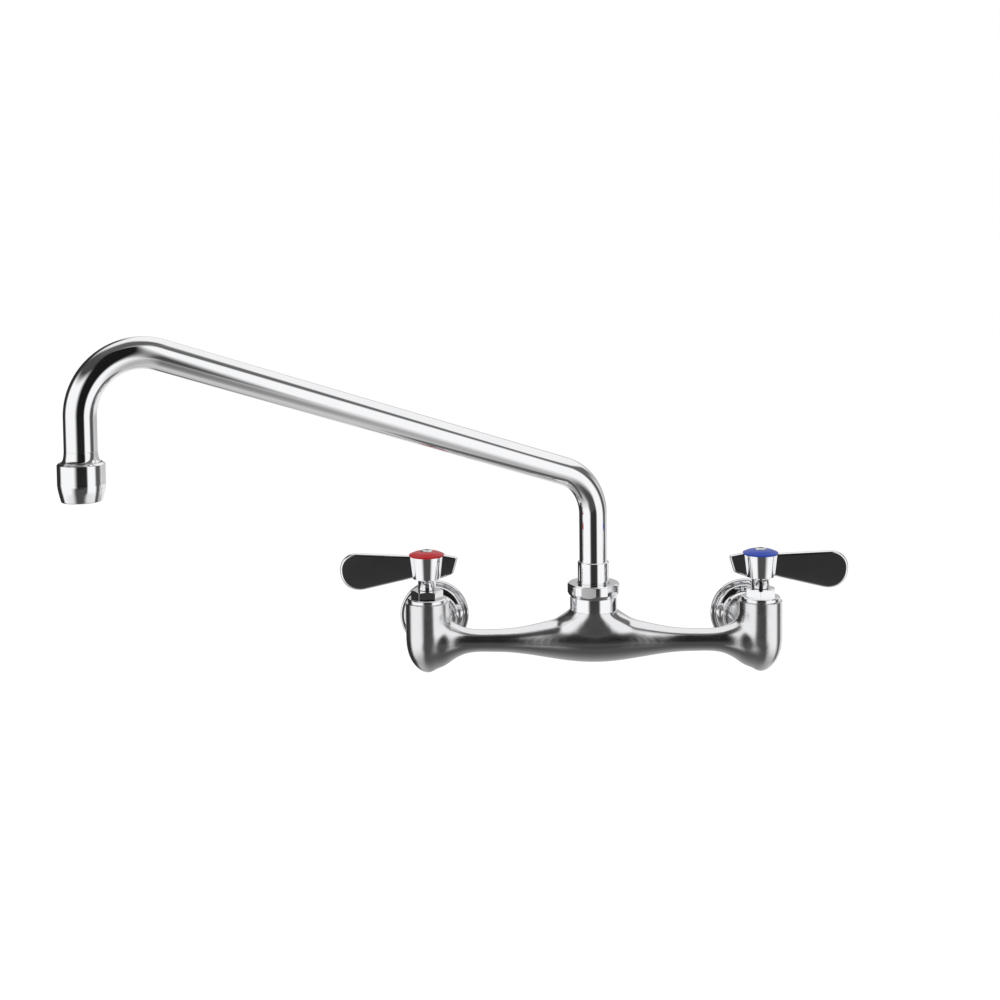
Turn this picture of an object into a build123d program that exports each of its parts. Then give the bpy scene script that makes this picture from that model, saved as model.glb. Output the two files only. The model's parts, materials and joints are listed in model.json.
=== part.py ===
from build123d import *
from math import atan2, cos, pi, radians, sin, tan
import os

# A wall-mounted, two-handle kitchen faucet with a swinging spout.
#
# The frame: the origin lies on the wall, midway between the two inlets and level with them.
# +X is to the right, +Y goes into the wall and +Z is up.  The valve axes and the spout's
# swing axis stand upright in the plane y = -WALL_TO_VALVE.  Lengths are millimetres.

# ---- clearances ---------------------------------------------------------------------------
RUNNING_FIT = 0.05        # radial, between a turning piece and its bore
SNUG_FIT = 0.05           # radial, between pieces that stay together
FACE_GAP = 0.10           # axial, between faces that turn on each other
DISC_GAP = 0.05           # water film between the ceramic discs
OPEN_GAP = 0.30           # between pieces that pass without guiding each other
LAP = 1.0                 # how far a cut or a joined form reaches into its neighbour

# ---- overall layout -----------------------------------------------------------------------
INLET_CENTRES = 203.2     # 8 in between the inlets
WALL_TO_VALVE = 70.0
SPOUT_REACH = 304.8       # 12 in from the swing axis to the outlet
SPOUT_SWING = 28.0        # degrees that the spout stands forward of straight left

# ---- valve barrels ------------------------------------------------------------------------
BARREL_R = 13.2
BARREL_TOP = 24.8
PEAR_TOP = 5.0            # the straight barrel ends here and its pear-shaped foot begins
PEAR_DEPTH = 24.1
PEAR_FULLNESS = 2.55      # how far down the foot keeps its width
PEAR_ROUNDNESS = 0.625    # how blunt its point is
CHAMBER_R = 9.6
SEAT_Z = -4.0             # floor that the cartridge stands on
WELL_R = 5.0              # water well under the seat
WELL_DEPTH = 9.0

# ---- mixing bar ---------------------------------------------------------------------------
BAR_Z = 0.7
BAR_BELLY_R = 13.2
BAR_WAIST_R = 6.93
BAR_WAIST_X = 60.0
BAR_PASSAGE_R = 4.5
RIDGE_RISE = 2.0          # the ridge that runs up from the bar to the spout boss
RIDGE_X = 24.0
# where the bar flares into a barrel: distance from the valve axis, then what its half height
# and its half depth gain over the waist
BARREL_FLARE = [(30.6, 0.0, 0.0), (23.6, 1.1, 0.6), (16.6, 4.4, 2.1), (11.6, 8.1, 3.8), (6.6, 10.1, 4.1)]

# ---- spout boss ---------------------------------------------------------------------------
BOSS_R = 14.4
BOSS_SEAT_Z = 20.1        # the nut's skirt stands here
BOSS_TOP = 30.0
BOSS_THREAD_R = 12.5
SOCKET_FLOOR = 6.0
MIXING_WELL_R = 5.0
# the boss spreads into the bar: depth below its seat, then what its half width and its half
# depth gain over its radius
BOSS_SPREAD = [(0.0, 0.0, 0.0), (2.2, 2.6, -0.1), (6.4, 9.1, -0.5), (12.0, 12.6, -1.2), (19.4, 13.6, -3.4)]

# ---- inlet shanks and flanges -------------------------------------------------------------
SHANK_R = 12.6
INLET_BORE_R = 9.3        # 1/2 in female pipe thread, taken at its crests
INLET_BORE_DEPTH = 16.0
FEED_R = 3.2              # slanting water way from the inlet to the well
FEED_START_Z = -3.0
FEED_END_Z = -8.8
FLANGE_R = 22.4
FLANGE_DEPTH = 9.0
FLANGE_RIM_HEIGHT = 3.2
FLANGE_RIM_WIDTH = 2.4
FLANGE_EDGE = 0.7         # chamfer of the rim and of the lip
FLANGE_GROOVE = 0.6       # depth and half width of the groove inside the rim
FLANGE_CROWN_HEIGHT = 6.4
FLANGE_CROWN_SHARE = 0.25  # how far the crown lies from the lip towards the groove
FLANGE_LIP_WIDTH = 1.6    # the narrow collar round the shank

# ---- cartridges ---------------------------------------------------------------------------
SEAL_THICKNESS = 2.0
SEAL_R = 7.6
DISC_THICKNESS = 2.8
DISC_R = 7.6
DISC_HUB_R = 2.6
PORT_R = 6.2              # outer radius of the ports in the fixed disc
PORT_ANGLE = 70.0
PADDLE_GAP_ANGLE = 80.0   # each open sector of the turning disc
SLOT_WIDTH = 3.0
SLOT_DEPTH = 1.4
SHELL_R = 8.6
SHELL_WALL = 0.8
WINDOW_WIDTH = 7.0
WINDOW_HEIGHT = 8.0
STEM_R = 4.0
DRIVER_R = 7.4
DRIVER_THICKNESS = 2.8
TANG_INSET = 1.0          # the tang stops this far inside the driver's edge
COLLAR_R = 6.4
COLLAR_THICKNESS = 2.8
STOP_LUG_ANGLE = 30.0
STOP_LUG_HEIGHT = 2.8
STOP_CLEARANCE = 1.0      # degrees left at each end of the lug's travel
QUARTER_TURN = 90.0
SERRATIONS = 16
SERRATION_DEPTH = 0.5
SERRATION_LENGTH = 14.0

# ---- bonnets ------------------------------------------------------------------------------
BONNET_THREAD_R = 9.55
BONNET_REACH = 10.8       # how far the bonnet screws down into the barrel
BONNET_RING_R = 11.9
BONNET_RING_HEIGHT = 2.8
BONNET_RING_EDGE = 0.5
BONNET_HEX = 17.0         # across flats
BONNET_HEX_HEIGHT = 4.9
BONNET_HEX_EDGE = 0.7     # height of the slanted corners
HOT_HEX_TURN = 34.0       # degrees, as each bonnet happened to tighten
COLD_HEX_TURN = 51.4

# ---- O-rings ------------------------------------------------------------------------------
STEM_RING_CORD = 1.0      # diameter of the rubber
BONNET_RING_CORD = 1.2
BONNET_SEAL_DROP = 2.2    # from the barrel's top down to the middle of the ring
SHANK_RING_CORD = 1.5
GROOVE_SIDE_GAP = 0.2     # a groove is this much wider than its ring, on each side

# ---- lever handles ------------------------------------------------------------------------
NECK_R = 5.5
NECK_HEIGHT = 5.6
NECK_FLARE = 1.3          # height of the chamfer under the hub
NECK_EDGE = 0.4
HUB_BOTTOM_R = 8.6
HUB_TOP_R = 10.2
HUB_HEIGHT = 13.6
HUB_RECESS_R = 7.5
HUB_RECESS_DEPTH = 2.5
HUB_WEB = 2.5             # floor of the recess, which the screw clamps on the stem
LEVER_REACH = 53.0
LEVER_THICKNESS = 4.0
LEVER_EDGE = 0.8          # chamfer round the rims of paddle and tail
LEVER_ROOT_DROP = 0.1     # the paddle's top edge leaves the hub this far under its top
LEVER_ROOT_HEIGHT = 11.5
LEVER_TIP_HEIGHT = 26.4
LEVER_TIP_RISE = 2.4      # the paddle's top edge climbs this much above the hub
LEVER_TOP_CORNER_R = 10.0
LEVER_BOTTOM_CORNER_R = 12.5
TAIL_ROOT = 5.0           # the tail starts this far from the axis, inside the hub
TAIL_ROOT_RISE = 1.9
TAIL_ROOT_DROP = 15.2
TAIL_REACH = 19.2
TAIL_DROP = 1.0           # from the hub's top down to the tail's upper end
TAIL_FOOT_REACH = 16.3
TAIL_FOOT_DROP = 11.1
TAIL_CORNER_R = 1.5

# ---- indexes and handle screws ------------------------------------------------------------
INDEX_R = 10.7
INDEX_RIM = 0.9
INDEX_CROWN = 3.0         # height of the dome above the hub
INDEX_BULGE = 0.5         # how far the dome stands over a straight cone
SCREW_R = 1.95
SCREW_LENGTH = 14.0
SCREW_TIP_GAP = 1.0
SCREW_HEAD_R = 3.7
SCREW_HEAD_HEIGHT = 1.6
SCREW_HEAD_EDGE = 0.7     # height of the head's straight rim
SCREW_HEAD_SUNK = 0.7
CROSS_SLOT_LENGTH = 4.4
CROSS_SLOT_WIDTH = 0.9
CROSS_SLOT_DEPTH = 0.9

# ---- spout nut, shank and glide ring ------------------------------------------------------
NUT_R = 15.8
NUT_FLATS = 30.4          # across the six milled flats
NUT_TURN = 18.0           # degrees, as it happened to tighten
NUT_SKIRT_HEIGHT = 8.2
NUT_HEIGHT = 8.2          # height of the part with the flats
NUT_SHOULDER = 2.4        # height of the slant between the skirt and the flats
NUT_WEB = 2.7
NUT_CHAMFER = 0.8
SLEEVE_R = 9.56
SLEEVE_HEIGHT = 13.1      # what shows above the nut
SLEEVE_EDGE = 0.5
SHOULDER_R = 11.5
GLIDE_RING_THICKNESS = 0.7
PIVOT_R = 8.5             # the part of the shank that turns in the socket
PIVOT_BORE_R = 5.5
PIVOT_END_GAP = 2.0
UPPER_RING_Z = 24.0
LOWER_RING_Z = 14.0

# ---- spout tube ---------------------------------------------------------------------------
TUBE_R = 8.5
TUBE_WALL = 1.2
TUBE_SOCKET_DEPTH = 11.6
RISER_CORNER_Z = 99.6     # where the riser's axis meets the arm's
DROP_CORNER_Z = 200.9     # where the arm's axis meets the drop's
RISER_BEND_R = 29.5
DROP_BEND_R = 32.0
TUBE_END_Z = 139.0

# ---- outlet -------------------------------------------------------------------------------
ADAPTER_FLARE_R = 10.0
ADAPTER_FLARE_HEIGHT = 5.6
ADAPTER_EDGE = 0.4
ADAPTER_THREAD_R = 10.4
ADAPTER_THREAD_LENGTH = 7.4
ADAPTER_BORE_R = 6.2
ADAPTER_SPIGOT = 7.0
AERATOR_R = 12.25
AERATOR_HEIGHT = 20.3
AERATOR_RIM = 1.0         # height of the slanted upper edge
AERATOR_RIM_WIDTH = 1.2
AERATOR_TAPER_HEIGHT = 9.0
AERATOR_MOUTH_R = 10.5
AERATOR_MOUTH_SLOPE = 0.28
AERATOR_LIP = 1.8
AERATOR_LIP_R = 8.4
AERATOR_WASHER = 2.0
AERATOR_WASHER_WIDTH = 2.9
INSERT_R = 9.5
INSERT_WALL = 1.2
INSERT_FLOOR = 1.2
HONEYCOMB_CELL_R = 1.45
HONEYCOMB_PITCH = 3.3
HONEYCOMB_RINGS = 2       # rings of cells round the middle one
JET_R = 0.6
JET_COUNT = 8
JET_CIRCLE_R = 5.5

# ---- heights that follow from the sizes above ----------------------------------------------
VALVE_X = INLET_CENTRES / 2
SEAL_TOP = SEAT_Z + SEAL_THICKNESS
FIXED_DISC_TOP = SEAL_TOP + DISC_THICKNESS
TURNING_DISC_BOTTOM = FIXED_DISC_TOP + DISC_GAP
TURNING_DISC_TOP = TURNING_DISC_BOTTOM + DISC_THICKNESS
DRIVER_BOTTOM = TURNING_DISC_TOP + SNUG_FIT
BONNET_BOTTOM = BARREL_TOP - BONNET_REACH
BONNET_RING_TOP = BARREL_TOP + BONNET_RING_HEIGHT
BONNET_TOP = BONNET_RING_TOP + BONNET_HEX_HEIGHT
COLLAR_TOP = BONNET_BOTTOM - FACE_GAP
HANDLE_BOTTOM = BONNET_TOP + OPEN_GAP
HUB_BOTTOM = HANDLE_BOTTOM + NECK_HEIGHT + NECK_FLARE
HUB_TOP = HUB_BOTTOM + HUB_HEIGHT
HUB_FLOOR = HUB_TOP - HUB_RECESS_DEPTH
STEM_TOP = HUB_FLOOR - HUB_WEB - OPEN_GAP
SCREW_SEAT = HUB_TOP + INDEX_CROWN - SCREW_HEAD_SUNK
SCREW_CLEARANCE_R = SCREW_R + OPEN_GAP
SOCKET_R = PIVOT_R + RUNNING_FIT
SHOULDER_BOTTOM = BOSS_TOP + FACE_GAP
NUT_BODY_BOTTOM = BOSS_SEAT_Z + NUT_SKIRT_HEIGHT
NUT_TOP = NUT_BODY_BOTTOM + NUT_HEIGHT
NUT_WEB_BOTTOM = NUT_TOP - NUT_WEB
SLEEVE_TOP = NUT_TOP + SLEEVE_HEIGHT
TUBE_BOTTOM = SLEEVE_TOP - TUBE_SOCKET_DEPTH
TUBE_INNER_R = TUBE_R - TUBE_WALL
ADAPTER_THREAD_TOP = TUBE_END_Z - ADAPTER_FLARE_HEIGHT
ADAPTER_BOTTOM = ADAPTER_THREAD_TOP - ADAPTER_THREAD_LENGTH
AERATOR_TOP = ADAPTER_THREAD_TOP - FACE_GAP
AERATOR_BOTTOM = AERATOR_TOP - AERATOR_HEIGHT
INSERT_BOTTOM = AERATOR_BOTTOM + AERATOR_LIP
INSERT_TOP = ADAPTER_BOTTOM - AERATOR_WASHER


# ---- shapes that several pieces share ------------------------------------------------------
def turned(*corners):
    """A solid turned about Z from the (radius, height) corners of its half section."""
    return revolve(make_face(Plane.XZ * Polyline(*corners, close=True)), Axis.Z)


def rod(radius, bottom, top):
    """An upright round bar."""
    return Pos(0, 0, bottom) * extrude(Circle(radius), top - bottom)


def tube(outer, inner, bottom, top):
    """An upright round tube."""
    return rod(outer, bottom, top) - rod(inner, bottom, top)


def hexagon(across_flats, bottom, top, turn):
    """A hexagonal block with one of its flats facing the angle turn."""
    outline = RegularPolygon(across_flats / 2, 6, major_radius=False, rotation=turn + 30)
    return Pos(0, 0, bottom) * extrude(outline, top - bottom)


def sector(inner, outer, start, angle, bottom, top):
    """A slice of an upright tube, from the angle start over angle degrees."""
    far = 2 * outer
    corners = [(0, 0)]
    for step in range(5):
        bearing = radians(start + angle * step / 4)
        corners.append((far * cos(bearing), far * sin(bearing)))
    wedge = Pos(0, 0, bottom) * extrude(make_face(Polyline(*corners, close=True)), top - bottom)
    return tube(outer, inner, bottom, top) & wedge


def serrated_bar(growth, bottom, top):
    """A bar with V-shaped serrations all round, its surface moved outwards by growth."""
    corners = []
    for step in range(2 * SERRATIONS):
        radius = STEM_R + growth - (step % 2) * SERRATION_DEPTH
        bearing = pi * step / SERRATIONS
        corners.append((radius * cos(bearing), radius * sin(bearing)))
    return Pos(0, 0, bottom) * extrude(make_face(Polyline(*corners, close=True)), top - bottom)


def o_ring(bore_radius, cord, height):
    """An eight-sided O-ring that lies in a shaft's groove and reaches out almost to its bore."""
    middle = Pos(bore_radius - RUNNING_FIT - cord / 2, height)
    return revolve(Plane.XZ * middle * RegularPolygon(cord / 2, 8), Axis.Z)


def groove(shaft_radius, bore_radius, cord, height):
    """The ring of metal to cut from a shaft for an O-ring."""
    root = bore_radius - RUNNING_FIT - cord
    half_width = cord / 2 + GROOVE_SIDE_GAP
    return tube(shaft_radius + LAP, root, height - half_width, height + half_width)


# ---- the cast body -------------------------------------------------------------------------
def barrel_form():
    """A valve barrel: straight above, with a pear-shaped foot."""
    foot = []
    for share in (0, 0.3, 0.55, 0.75, 0.9, 1):
        radius = BARREL_R * (1 - share ** PEAR_FULLNESS) ** PEAR_ROUNDNESS
        foot.append((radius, PEAR_TOP - share * PEAR_DEPTH))
    curve = Spline(foot, tangents=[(0, -1), (-1, 0)])
    straight = Polyline(foot[-1], (0, BARREL_TOP), (BARREL_R, BARREL_TOP), foot[0])
    return revolve(make_face(Plane.XZ * (curve + straight)), Axis.Z)


def bar_section(x, top, bottom, half_depth):
    """An ellipse across the mixing bar at x."""
    middle = (top + bottom) / 2
    plane = Plane(origin=(x, 0, middle), x_dir=(0, 1, 0), z_dir=(1, 0, 0))
    return plane * Ellipse(half_depth, (top - bottom) / 2)


def bar_form():
    """The mixing bar: a full belly, slim waists and a flare into each barrel."""
    right = []
    for share in (0.2, 0.4, 0.525, 0.65, 0.775, 0.9, 1):
        x = share * BAR_WAIST_X
        radius = BAR_WAIST_R + (BAR_BELLY_R - BAR_WAIST_R) * (1 + cos(pi * share)) / 2
        fade = min(1, (BAR_WAIST_X - x) / (BAR_WAIST_X - RIDGE_X))
        ridge = RIDGE_RISE * fade ** 2
        right.append((x, BAR_Z + radius + ridge, BAR_Z - radius, radius))
    for distance, gained_height, gained_depth in BARREL_FLARE:
        half_height = BAR_WAIST_R + gained_height
        right.append((VALVE_X - distance, BAR_Z + half_height, BAR_Z - half_height,
                      BAR_WAIST_R + gained_depth))
    middle = (0, BAR_Z + BAR_BELLY_R + RIDGE_RISE / 2, BAR_Z - BAR_BELLY_R, BAR_BELLY_R)
    left = [(-x, top, bottom, half_depth) for x, top, bottom, half_depth in reversed(right)]
    return loft([bar_section(*section) for section in left + [middle] + right])


def boss_form():
    """The spout boss, which spreads downwards into the bar, with its threaded neck."""
    sections = []
    for depth, gained_width, gained_depth in BOSS_SPREAD:
        section = Ellipse(BOSS_R + gained_width, BOSS_R + gained_depth)
        sections.append(Pos(0, 0, BOSS_SEAT_Z - depth) * section)
    return loft(sections) + rod(BOSS_THREAD_R, BOSS_SEAT_Z - LAP, BOSS_TOP)


def faucet_body():
    """One casting: two valve barrels, the mixing bar, the spout boss and the inlet shanks."""
    body = bar_form() + boss_form()
    for side in (-1, 1):
        body += Pos(side * VALVE_X, 0, 0) * barrel_form()
        body += Pos(side * VALVE_X, WALL_TO_VALVE, 0) * Rot(90, 0, 0) * rod(SHANK_R, 0, WALL_TO_VALVE)
    well_bottom = BAR_Z - BAR_PASSAGE_R
    body -= rod(SOCKET_R, SOCKET_FLOOR, BOSS_TOP)
    body -= rod(MIXING_WELL_R, well_bottom, SOCKET_FLOOR)
    passage_reach = VALVE_X - SHELL_R
    body -= Pos(-passage_reach, 0, BAR_Z) * Rot(0, 90, 0) * rod(BAR_PASSAGE_R, 0, 2 * passage_reach)
    for side in (-1, 1):
        chamber = rod(CHAMBER_R, SEAT_Z, BARREL_TOP) + rod(WELL_R, SEAT_Z - WELL_DEPTH, SEAT_Z)
        body -= Pos(side * VALVE_X, 0, 0) * chamber
        inlet = Rot(90, 0, 0) * rod(INLET_BORE_R, 0, INLET_BORE_DEPTH)
        body -= Pos(side * VALVE_X, WALL_TO_VALVE, 0) * inlet
        start = Vector(side * VALVE_X, WALL_TO_VALVE - INLET_BORE_DEPTH + LAP, FEED_START_Z)
        end = Vector(side * VALVE_X, 0, FEED_END_Z)
        feed = Plane(origin=start, z_dir=end - start) * Circle(FEED_R)
        body -= extrude(feed, (end - start).length)
    return Pos(0, -WALL_TO_VALVE, 0) * body


def wall_flange():
    """A stepped escutcheon that covers the hole in the wall."""
    bore = SHANK_R + SNUG_FIT
    rim = FLANGE_RIM_HEIGHT
    groove_r = FLANGE_R - FLANGE_RIM_WIDTH
    lip_r = SHANK_R + FLANGE_LIP_WIDTH
    crown_r = lip_r + FLANGE_CROWN_SHARE * (groove_r - lip_r)
    profile = turned(
        (bore, 0), (FLANGE_R, 0), (FLANGE_R, rim - FLANGE_EDGE), (FLANGE_R - FLANGE_EDGE, rim),
        (groove_r, rim), (groove_r - FLANGE_GROOVE, rim - FLANGE_GROOVE),
        (groove_r - 2 * FLANGE_GROOVE, rim + FLANGE_GROOVE), (crown_r, FLANGE_CROWN_HEIGHT),
        (lip_r, FLANGE_DEPTH - FLANGE_EDGE), (lip_r - FLANGE_EDGE, FLANGE_DEPTH), (bore, FLANGE_DEPTH))
    return Rot(90, 0, 0) * profile


# ---- quarter-turn cartridges, each standing on the seat in its barrel ----------------------
def seat_seal():
    """Rubber ring that the fixed disc presses on the seat."""
    return tube(SEAL_R, WELL_R + OPEN_GAP, SEAT_Z, SEAL_TOP)


def fixed_disc():
    """Ceramic disc with two ports, one on each side of its middle."""
    disc = rod(DISC_R, SEAL_TOP, FIXED_DISC_TOP)
    for middle in (0, 180):
        start = middle - PORT_ANGLE / 2
        disc -= sector(DISC_HUB_R, PORT_R, start, PORT_ANGLE, SEAL_TOP, FIXED_DISC_TOP)
    return disc


def turning_disc():
    """Ceramic disc with two open sectors and, on top, the slot that its driver turns."""
    disc = rod(DISC_R, TURNING_DISC_BOTTOM, TURNING_DISC_TOP)
    for middle in (90, 270):
        start = middle - PADDLE_GAP_ANGLE / 2
        disc -= sector(DISC_HUB_R, DISC_R + LAP, start, PADDLE_GAP_ANGLE,
                       TURNING_DISC_BOTTOM, TURNING_DISC_TOP)
    slot = Box(2 * DISC_R + LAP, SLOT_WIDTH, SLOT_DEPTH)
    return disc - Pos(0, 0, TURNING_DISC_TOP - SLOT_DEPTH / 2) * slot


def cartridge_shell():
    """The cage round the discs, with four windows that let the water out."""
    shell = tube(SHELL_R, SHELL_R - SHELL_WALL, SEAT_Z, BONNET_BOTTOM)
    window_middle = TURNING_DISC_BOTTOM + WINDOW_HEIGHT / 2
    window = Pos(0, 0, window_middle) * Box(3 * SHELL_R, WINDOW_WIDTH, WINDOW_HEIGHT)
    return shell - window - Rot(0, 0, 90) * window


def stem(lug_bearing):
    """Driver, thrust collar with its stop lug, O-ring groove and serrated end."""
    driver_top = DRIVER_BOTTOM + DRIVER_THICKNESS
    collar_bottom = COLLAR_TOP - COLLAR_THICKNESS
    serration_bottom = STEM_TOP - SERRATION_LENGTH
    piece = turned(
        (0, DRIVER_BOTTOM), (DRIVER_R, DRIVER_BOTTOM), (DRIVER_R, driver_top), (STEM_R, driver_top),
        (STEM_R, collar_bottom), (COLLAR_R, collar_bottom), (COLLAR_R, COLLAR_TOP),
        (STEM_R, COLLAR_TOP), (STEM_R, serration_bottom), (0, serration_bottom))
    piece += serrated_bar(0, serration_bottom, STEM_TOP)
    tang_depth = SLOT_DEPTH - FACE_GAP
    tang = Box(2 * (DRIVER_R - TANG_INSET), SLOT_WIDTH - 2 * SNUG_FIT, tang_depth)
    piece += Pos(0, 0, DRIVER_BOTTOM - tang_depth / 2) * tang
    piece += sector(STEM_R - LAP, COLLAR_R, lug_bearing - STOP_LUG_ANGLE / 2, STOP_LUG_ANGLE,
                    COLLAR_TOP, COLLAR_TOP + STOP_LUG_HEIGHT)
    piece -= groove(STEM_R, STEM_R + RUNNING_FIT, STEM_RING_CORD, stem_ring_z())
    return piece - rod(SCREW_R + SNUG_FIT, STEM_TOP - SCREW_LENGTH, STEM_TOP)


def stem_ring_z():
    """Height of the stem's O-ring, in the middle of the bonnet's plain bore."""
    pocket_top = COLLAR_TOP + STOP_LUG_HEIGHT + OPEN_GAP
    return (pocket_top + BONNET_TOP) / 2


def bonnet(first_bearing, hex_turn):
    """The screwed cover of a barrel, with the pocket that stops the stem at a quarter turn."""
    edge = BONNET_RING_EDGE
    head = turned(
        (0, BARREL_TOP), (BONNET_RING_R - edge, BARREL_TOP), (BONNET_RING_R, BARREL_TOP + edge),
        (BONNET_RING_R, BONNET_RING_TOP - edge), (BONNET_RING_R - edge, BONNET_RING_TOP),
        (0, BONNET_RING_TOP))
    corner_r = BONNET_HEX / 2 / cos(pi / 6)
    crown = turned(
        (0, BONNET_RING_TOP), (corner_r, BONNET_RING_TOP), (corner_r, BONNET_TOP - BONNET_HEX_EDGE),
        (BONNET_HEX / 2 - SNUG_FIT, BONNET_TOP), (0, BONNET_TOP))
    piece = head + (hexagon(BONNET_HEX, BONNET_RING_TOP, BONNET_TOP, hex_turn) & crown)
    piece += rod(BONNET_THREAD_R, BONNET_BOTTOM, BARREL_TOP)
    piece -= rod(STEM_R + RUNNING_FIT, BONNET_BOTTOM, BONNET_TOP)
    travel = QUARTER_TURN + STOP_LUG_ANGLE + 2 * STOP_CLEARANCE
    start = first_bearing - STOP_LUG_ANGLE / 2 - STOP_CLEARANCE
    pocket_top = COLLAR_TOP + STOP_LUG_HEIGHT + OPEN_GAP
    piece -= sector(STEM_R - LAP, COLLAR_R + OPEN_GAP, start, travel, BONNET_BOTTOM, pocket_top)
    return piece - groove(BONNET_THREAD_R, CHAMBER_R, BONNET_RING_CORD, bonnet_seal_z())


def bonnet_seal_z():
    """Height of the O-ring near the top of the bonnet's thread."""
    return BARREL_TOP - BONNET_SEAL_DROP


# ---- lever handles, drawn with the lever along +X ------------------------------------------
def handle():
    """Hub, neck, paddle and tail in one casting, broached to fit the stem."""
    piece = turned(
        (0, HANDLE_BOTTOM), (NECK_R - NECK_EDGE, HANDLE_BOTTOM), (NECK_R, HANDLE_BOTTOM + NECK_EDGE),
        (NECK_R, HANDLE_BOTTOM + NECK_HEIGHT), (HUB_BOTTOM_R, HUB_BOTTOM), (HUB_TOP_R, HUB_TOP),
        (0, HUB_TOP))
    piece += plate(paddle_outline()) + plate(tail_outline())
    piece -= rod(HUB_RECESS_R, HUB_FLOOR, HUB_TOP)
    piece -= rod(INDEX_R + SNUG_FIT, HUB_TOP, HUB_TOP + LEVER_TIP_RISE + TAIL_ROOT_RISE)
    piece -= serrated_bar(SNUG_FIT, HANDLE_BOTTOM, STEM_TOP + OPEN_GAP)
    piece -= rod(STEM_R + SNUG_FIT, HANDLE_BOTTOM, STEM_TOP - SERRATION_LENGTH)
    return piece - rod(SCREW_CLEARANCE_R, STEM_TOP, HUB_TOP)


def paddle_outline():
    """The paddle widens from the hub to an end that is round all the way."""
    root_top = HUB_TOP - LEVER_ROOT_DROP
    root_bottom = root_top - LEVER_ROOT_HEIGHT
    tip_top = HUB_TOP + LEVER_TIP_RISE
    tip_bottom = tip_top - LEVER_TIP_HEIGHT
    outline = make_face(Polyline(
        (0, root_top), (LEVER_REACH, tip_top), (LEVER_REACH, tip_bottom), (0, root_bottom), close=True))
    top_setback = tan(pi / 4 + atan2(tip_top - root_top, LEVER_REACH) / 2)
    bottom_setback = tan(pi / 4 + atan2(root_bottom - tip_bottom, LEVER_REACH) / 2)
    wanted = LEVER_TOP_CORNER_R * top_setback + LEVER_BOTTOM_CORNER_R * bottom_setback
    share = min(1, (LEVER_TIP_HEIGHT - SNUG_FIT) / wanted)
    upper_end = outline.vertices().sort_by_distance((LEVER_REACH, tip_top, 0))[0]
    outline = fillet(upper_end, share * LEVER_TOP_CORNER_R)
    lower_end = outline.vertices().sort_by_distance((LEVER_REACH, tip_bottom, 0))[0]
    return fillet(lower_end, share * LEVER_BOTTOM_CORNER_R)


def tail_outline():
    """The short tail behind the hub, with its end slanting in towards its foot."""
    outline = make_face(Polyline(
        (-TAIL_ROOT, HUB_TOP + TAIL_ROOT_RISE), (-TAIL_REACH, HUB_TOP - TAIL_DROP),
        (-TAIL_FOOT_REACH, HUB_TOP - TAIL_FOOT_DROP), (-TAIL_ROOT, HUB_TOP - TAIL_ROOT_DROP), close=True))
    return fillet(outline.vertices().sort_by(Axis.X)[:2], TAIL_CORNER_R)


def plate(outline):
    """An upright plate of the levers' thickness with its edges eased."""
    solid = extrude(Plane.XZ * outline, LEVER_THICKNESS / 2, both=True)
    return chamfer(solid.edges(), LEVER_EDGE)


def index():
    """Coloured, domed disc whose spigot sits in the hub and is held by the screw."""
    rim_top = HUB_TOP + INDEX_RIM
    crown_top = HUB_TOP + INDEX_CROWN
    recess_r = SCREW_HEAD_R + SNUG_FIT
    middle = ((INDEX_R + recess_r) / 2, (rim_top + crown_top) / 2 + INDEX_BULGE)
    bend = Spline((INDEX_R, rim_top), middle, (recess_r, crown_top), tangents=[(-1, 1), (-1, 0)])
    rest = Polyline(
        (recess_r, crown_top), (recess_r, SCREW_SEAT), (SCREW_CLEARANCE_R, SCREW_SEAT),
        (SCREW_CLEARANCE_R, HUB_FLOOR), (HUB_RECESS_R - SNUG_FIT, HUB_FLOOR),
        (HUB_RECESS_R - SNUG_FIT, HUB_TOP), (INDEX_R, HUB_TOP), (INDEX_R, rim_top))
    return revolve(make_face(Plane.XZ * (bend + rest)), Axis.Z)


def handle_screw():
    """Screw with a low round head and a cross slot."""
    head_top = SCREW_SEAT + SCREW_HEAD_HEIGHT
    head_edge = SCREW_SEAT + SCREW_HEAD_EDGE
    tip = STEM_TOP - SCREW_LENGTH + SCREW_TIP_GAP
    dome = Spline((SCREW_HEAD_R, head_edge), (0, head_top), tangents=[(0, 1), (-1, 0)])
    rest = Polyline((0, head_top), (0, tip), (SCREW_R, tip), (SCREW_R, SCREW_SEAT),
                    (SCREW_HEAD_R, SCREW_SEAT), (SCREW_HEAD_R, head_edge))
    piece = revolve(make_face(Plane.XZ * (dome + rest)), Axis.Z)
    slot = Box(CROSS_SLOT_LENGTH, CROSS_SLOT_WIDTH, CROSS_SLOT_DEPTH)
    slot = Pos(0, 0, head_top - CROSS_SLOT_DEPTH / 2) * slot
    return piece - slot - Rot(0, 0, 90) * slot


# ---- spout ---------------------------------------------------------------------------------
def spout_nut():
    """Nut with six milled flats over a round skirt, which hides the boss's thread."""
    outside = turned(
        (0, BOSS_SEAT_Z), (BOSS_R, BOSS_SEAT_Z), (BOSS_R, NUT_BODY_BOTTOM),
        (NUT_R, NUT_BODY_BOTTOM + NUT_SHOULDER), (NUT_R, NUT_TOP - NUT_CHAMFER),
        (NUT_R - NUT_CHAMFER, NUT_TOP), (0, NUT_TOP))
    flats = hexagon(NUT_FLATS, BOSS_SEAT_Z, NUT_TOP, NUT_TURN)
    thread = rod(BOSS_THREAD_R + SNUG_FIT, BOSS_SEAT_Z, NUT_WEB_BOTTOM)
    return (outside & flats) - thread - rod(SLEEVE_R + OPEN_GAP, NUT_WEB_BOTTOM, NUT_TOP)


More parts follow.
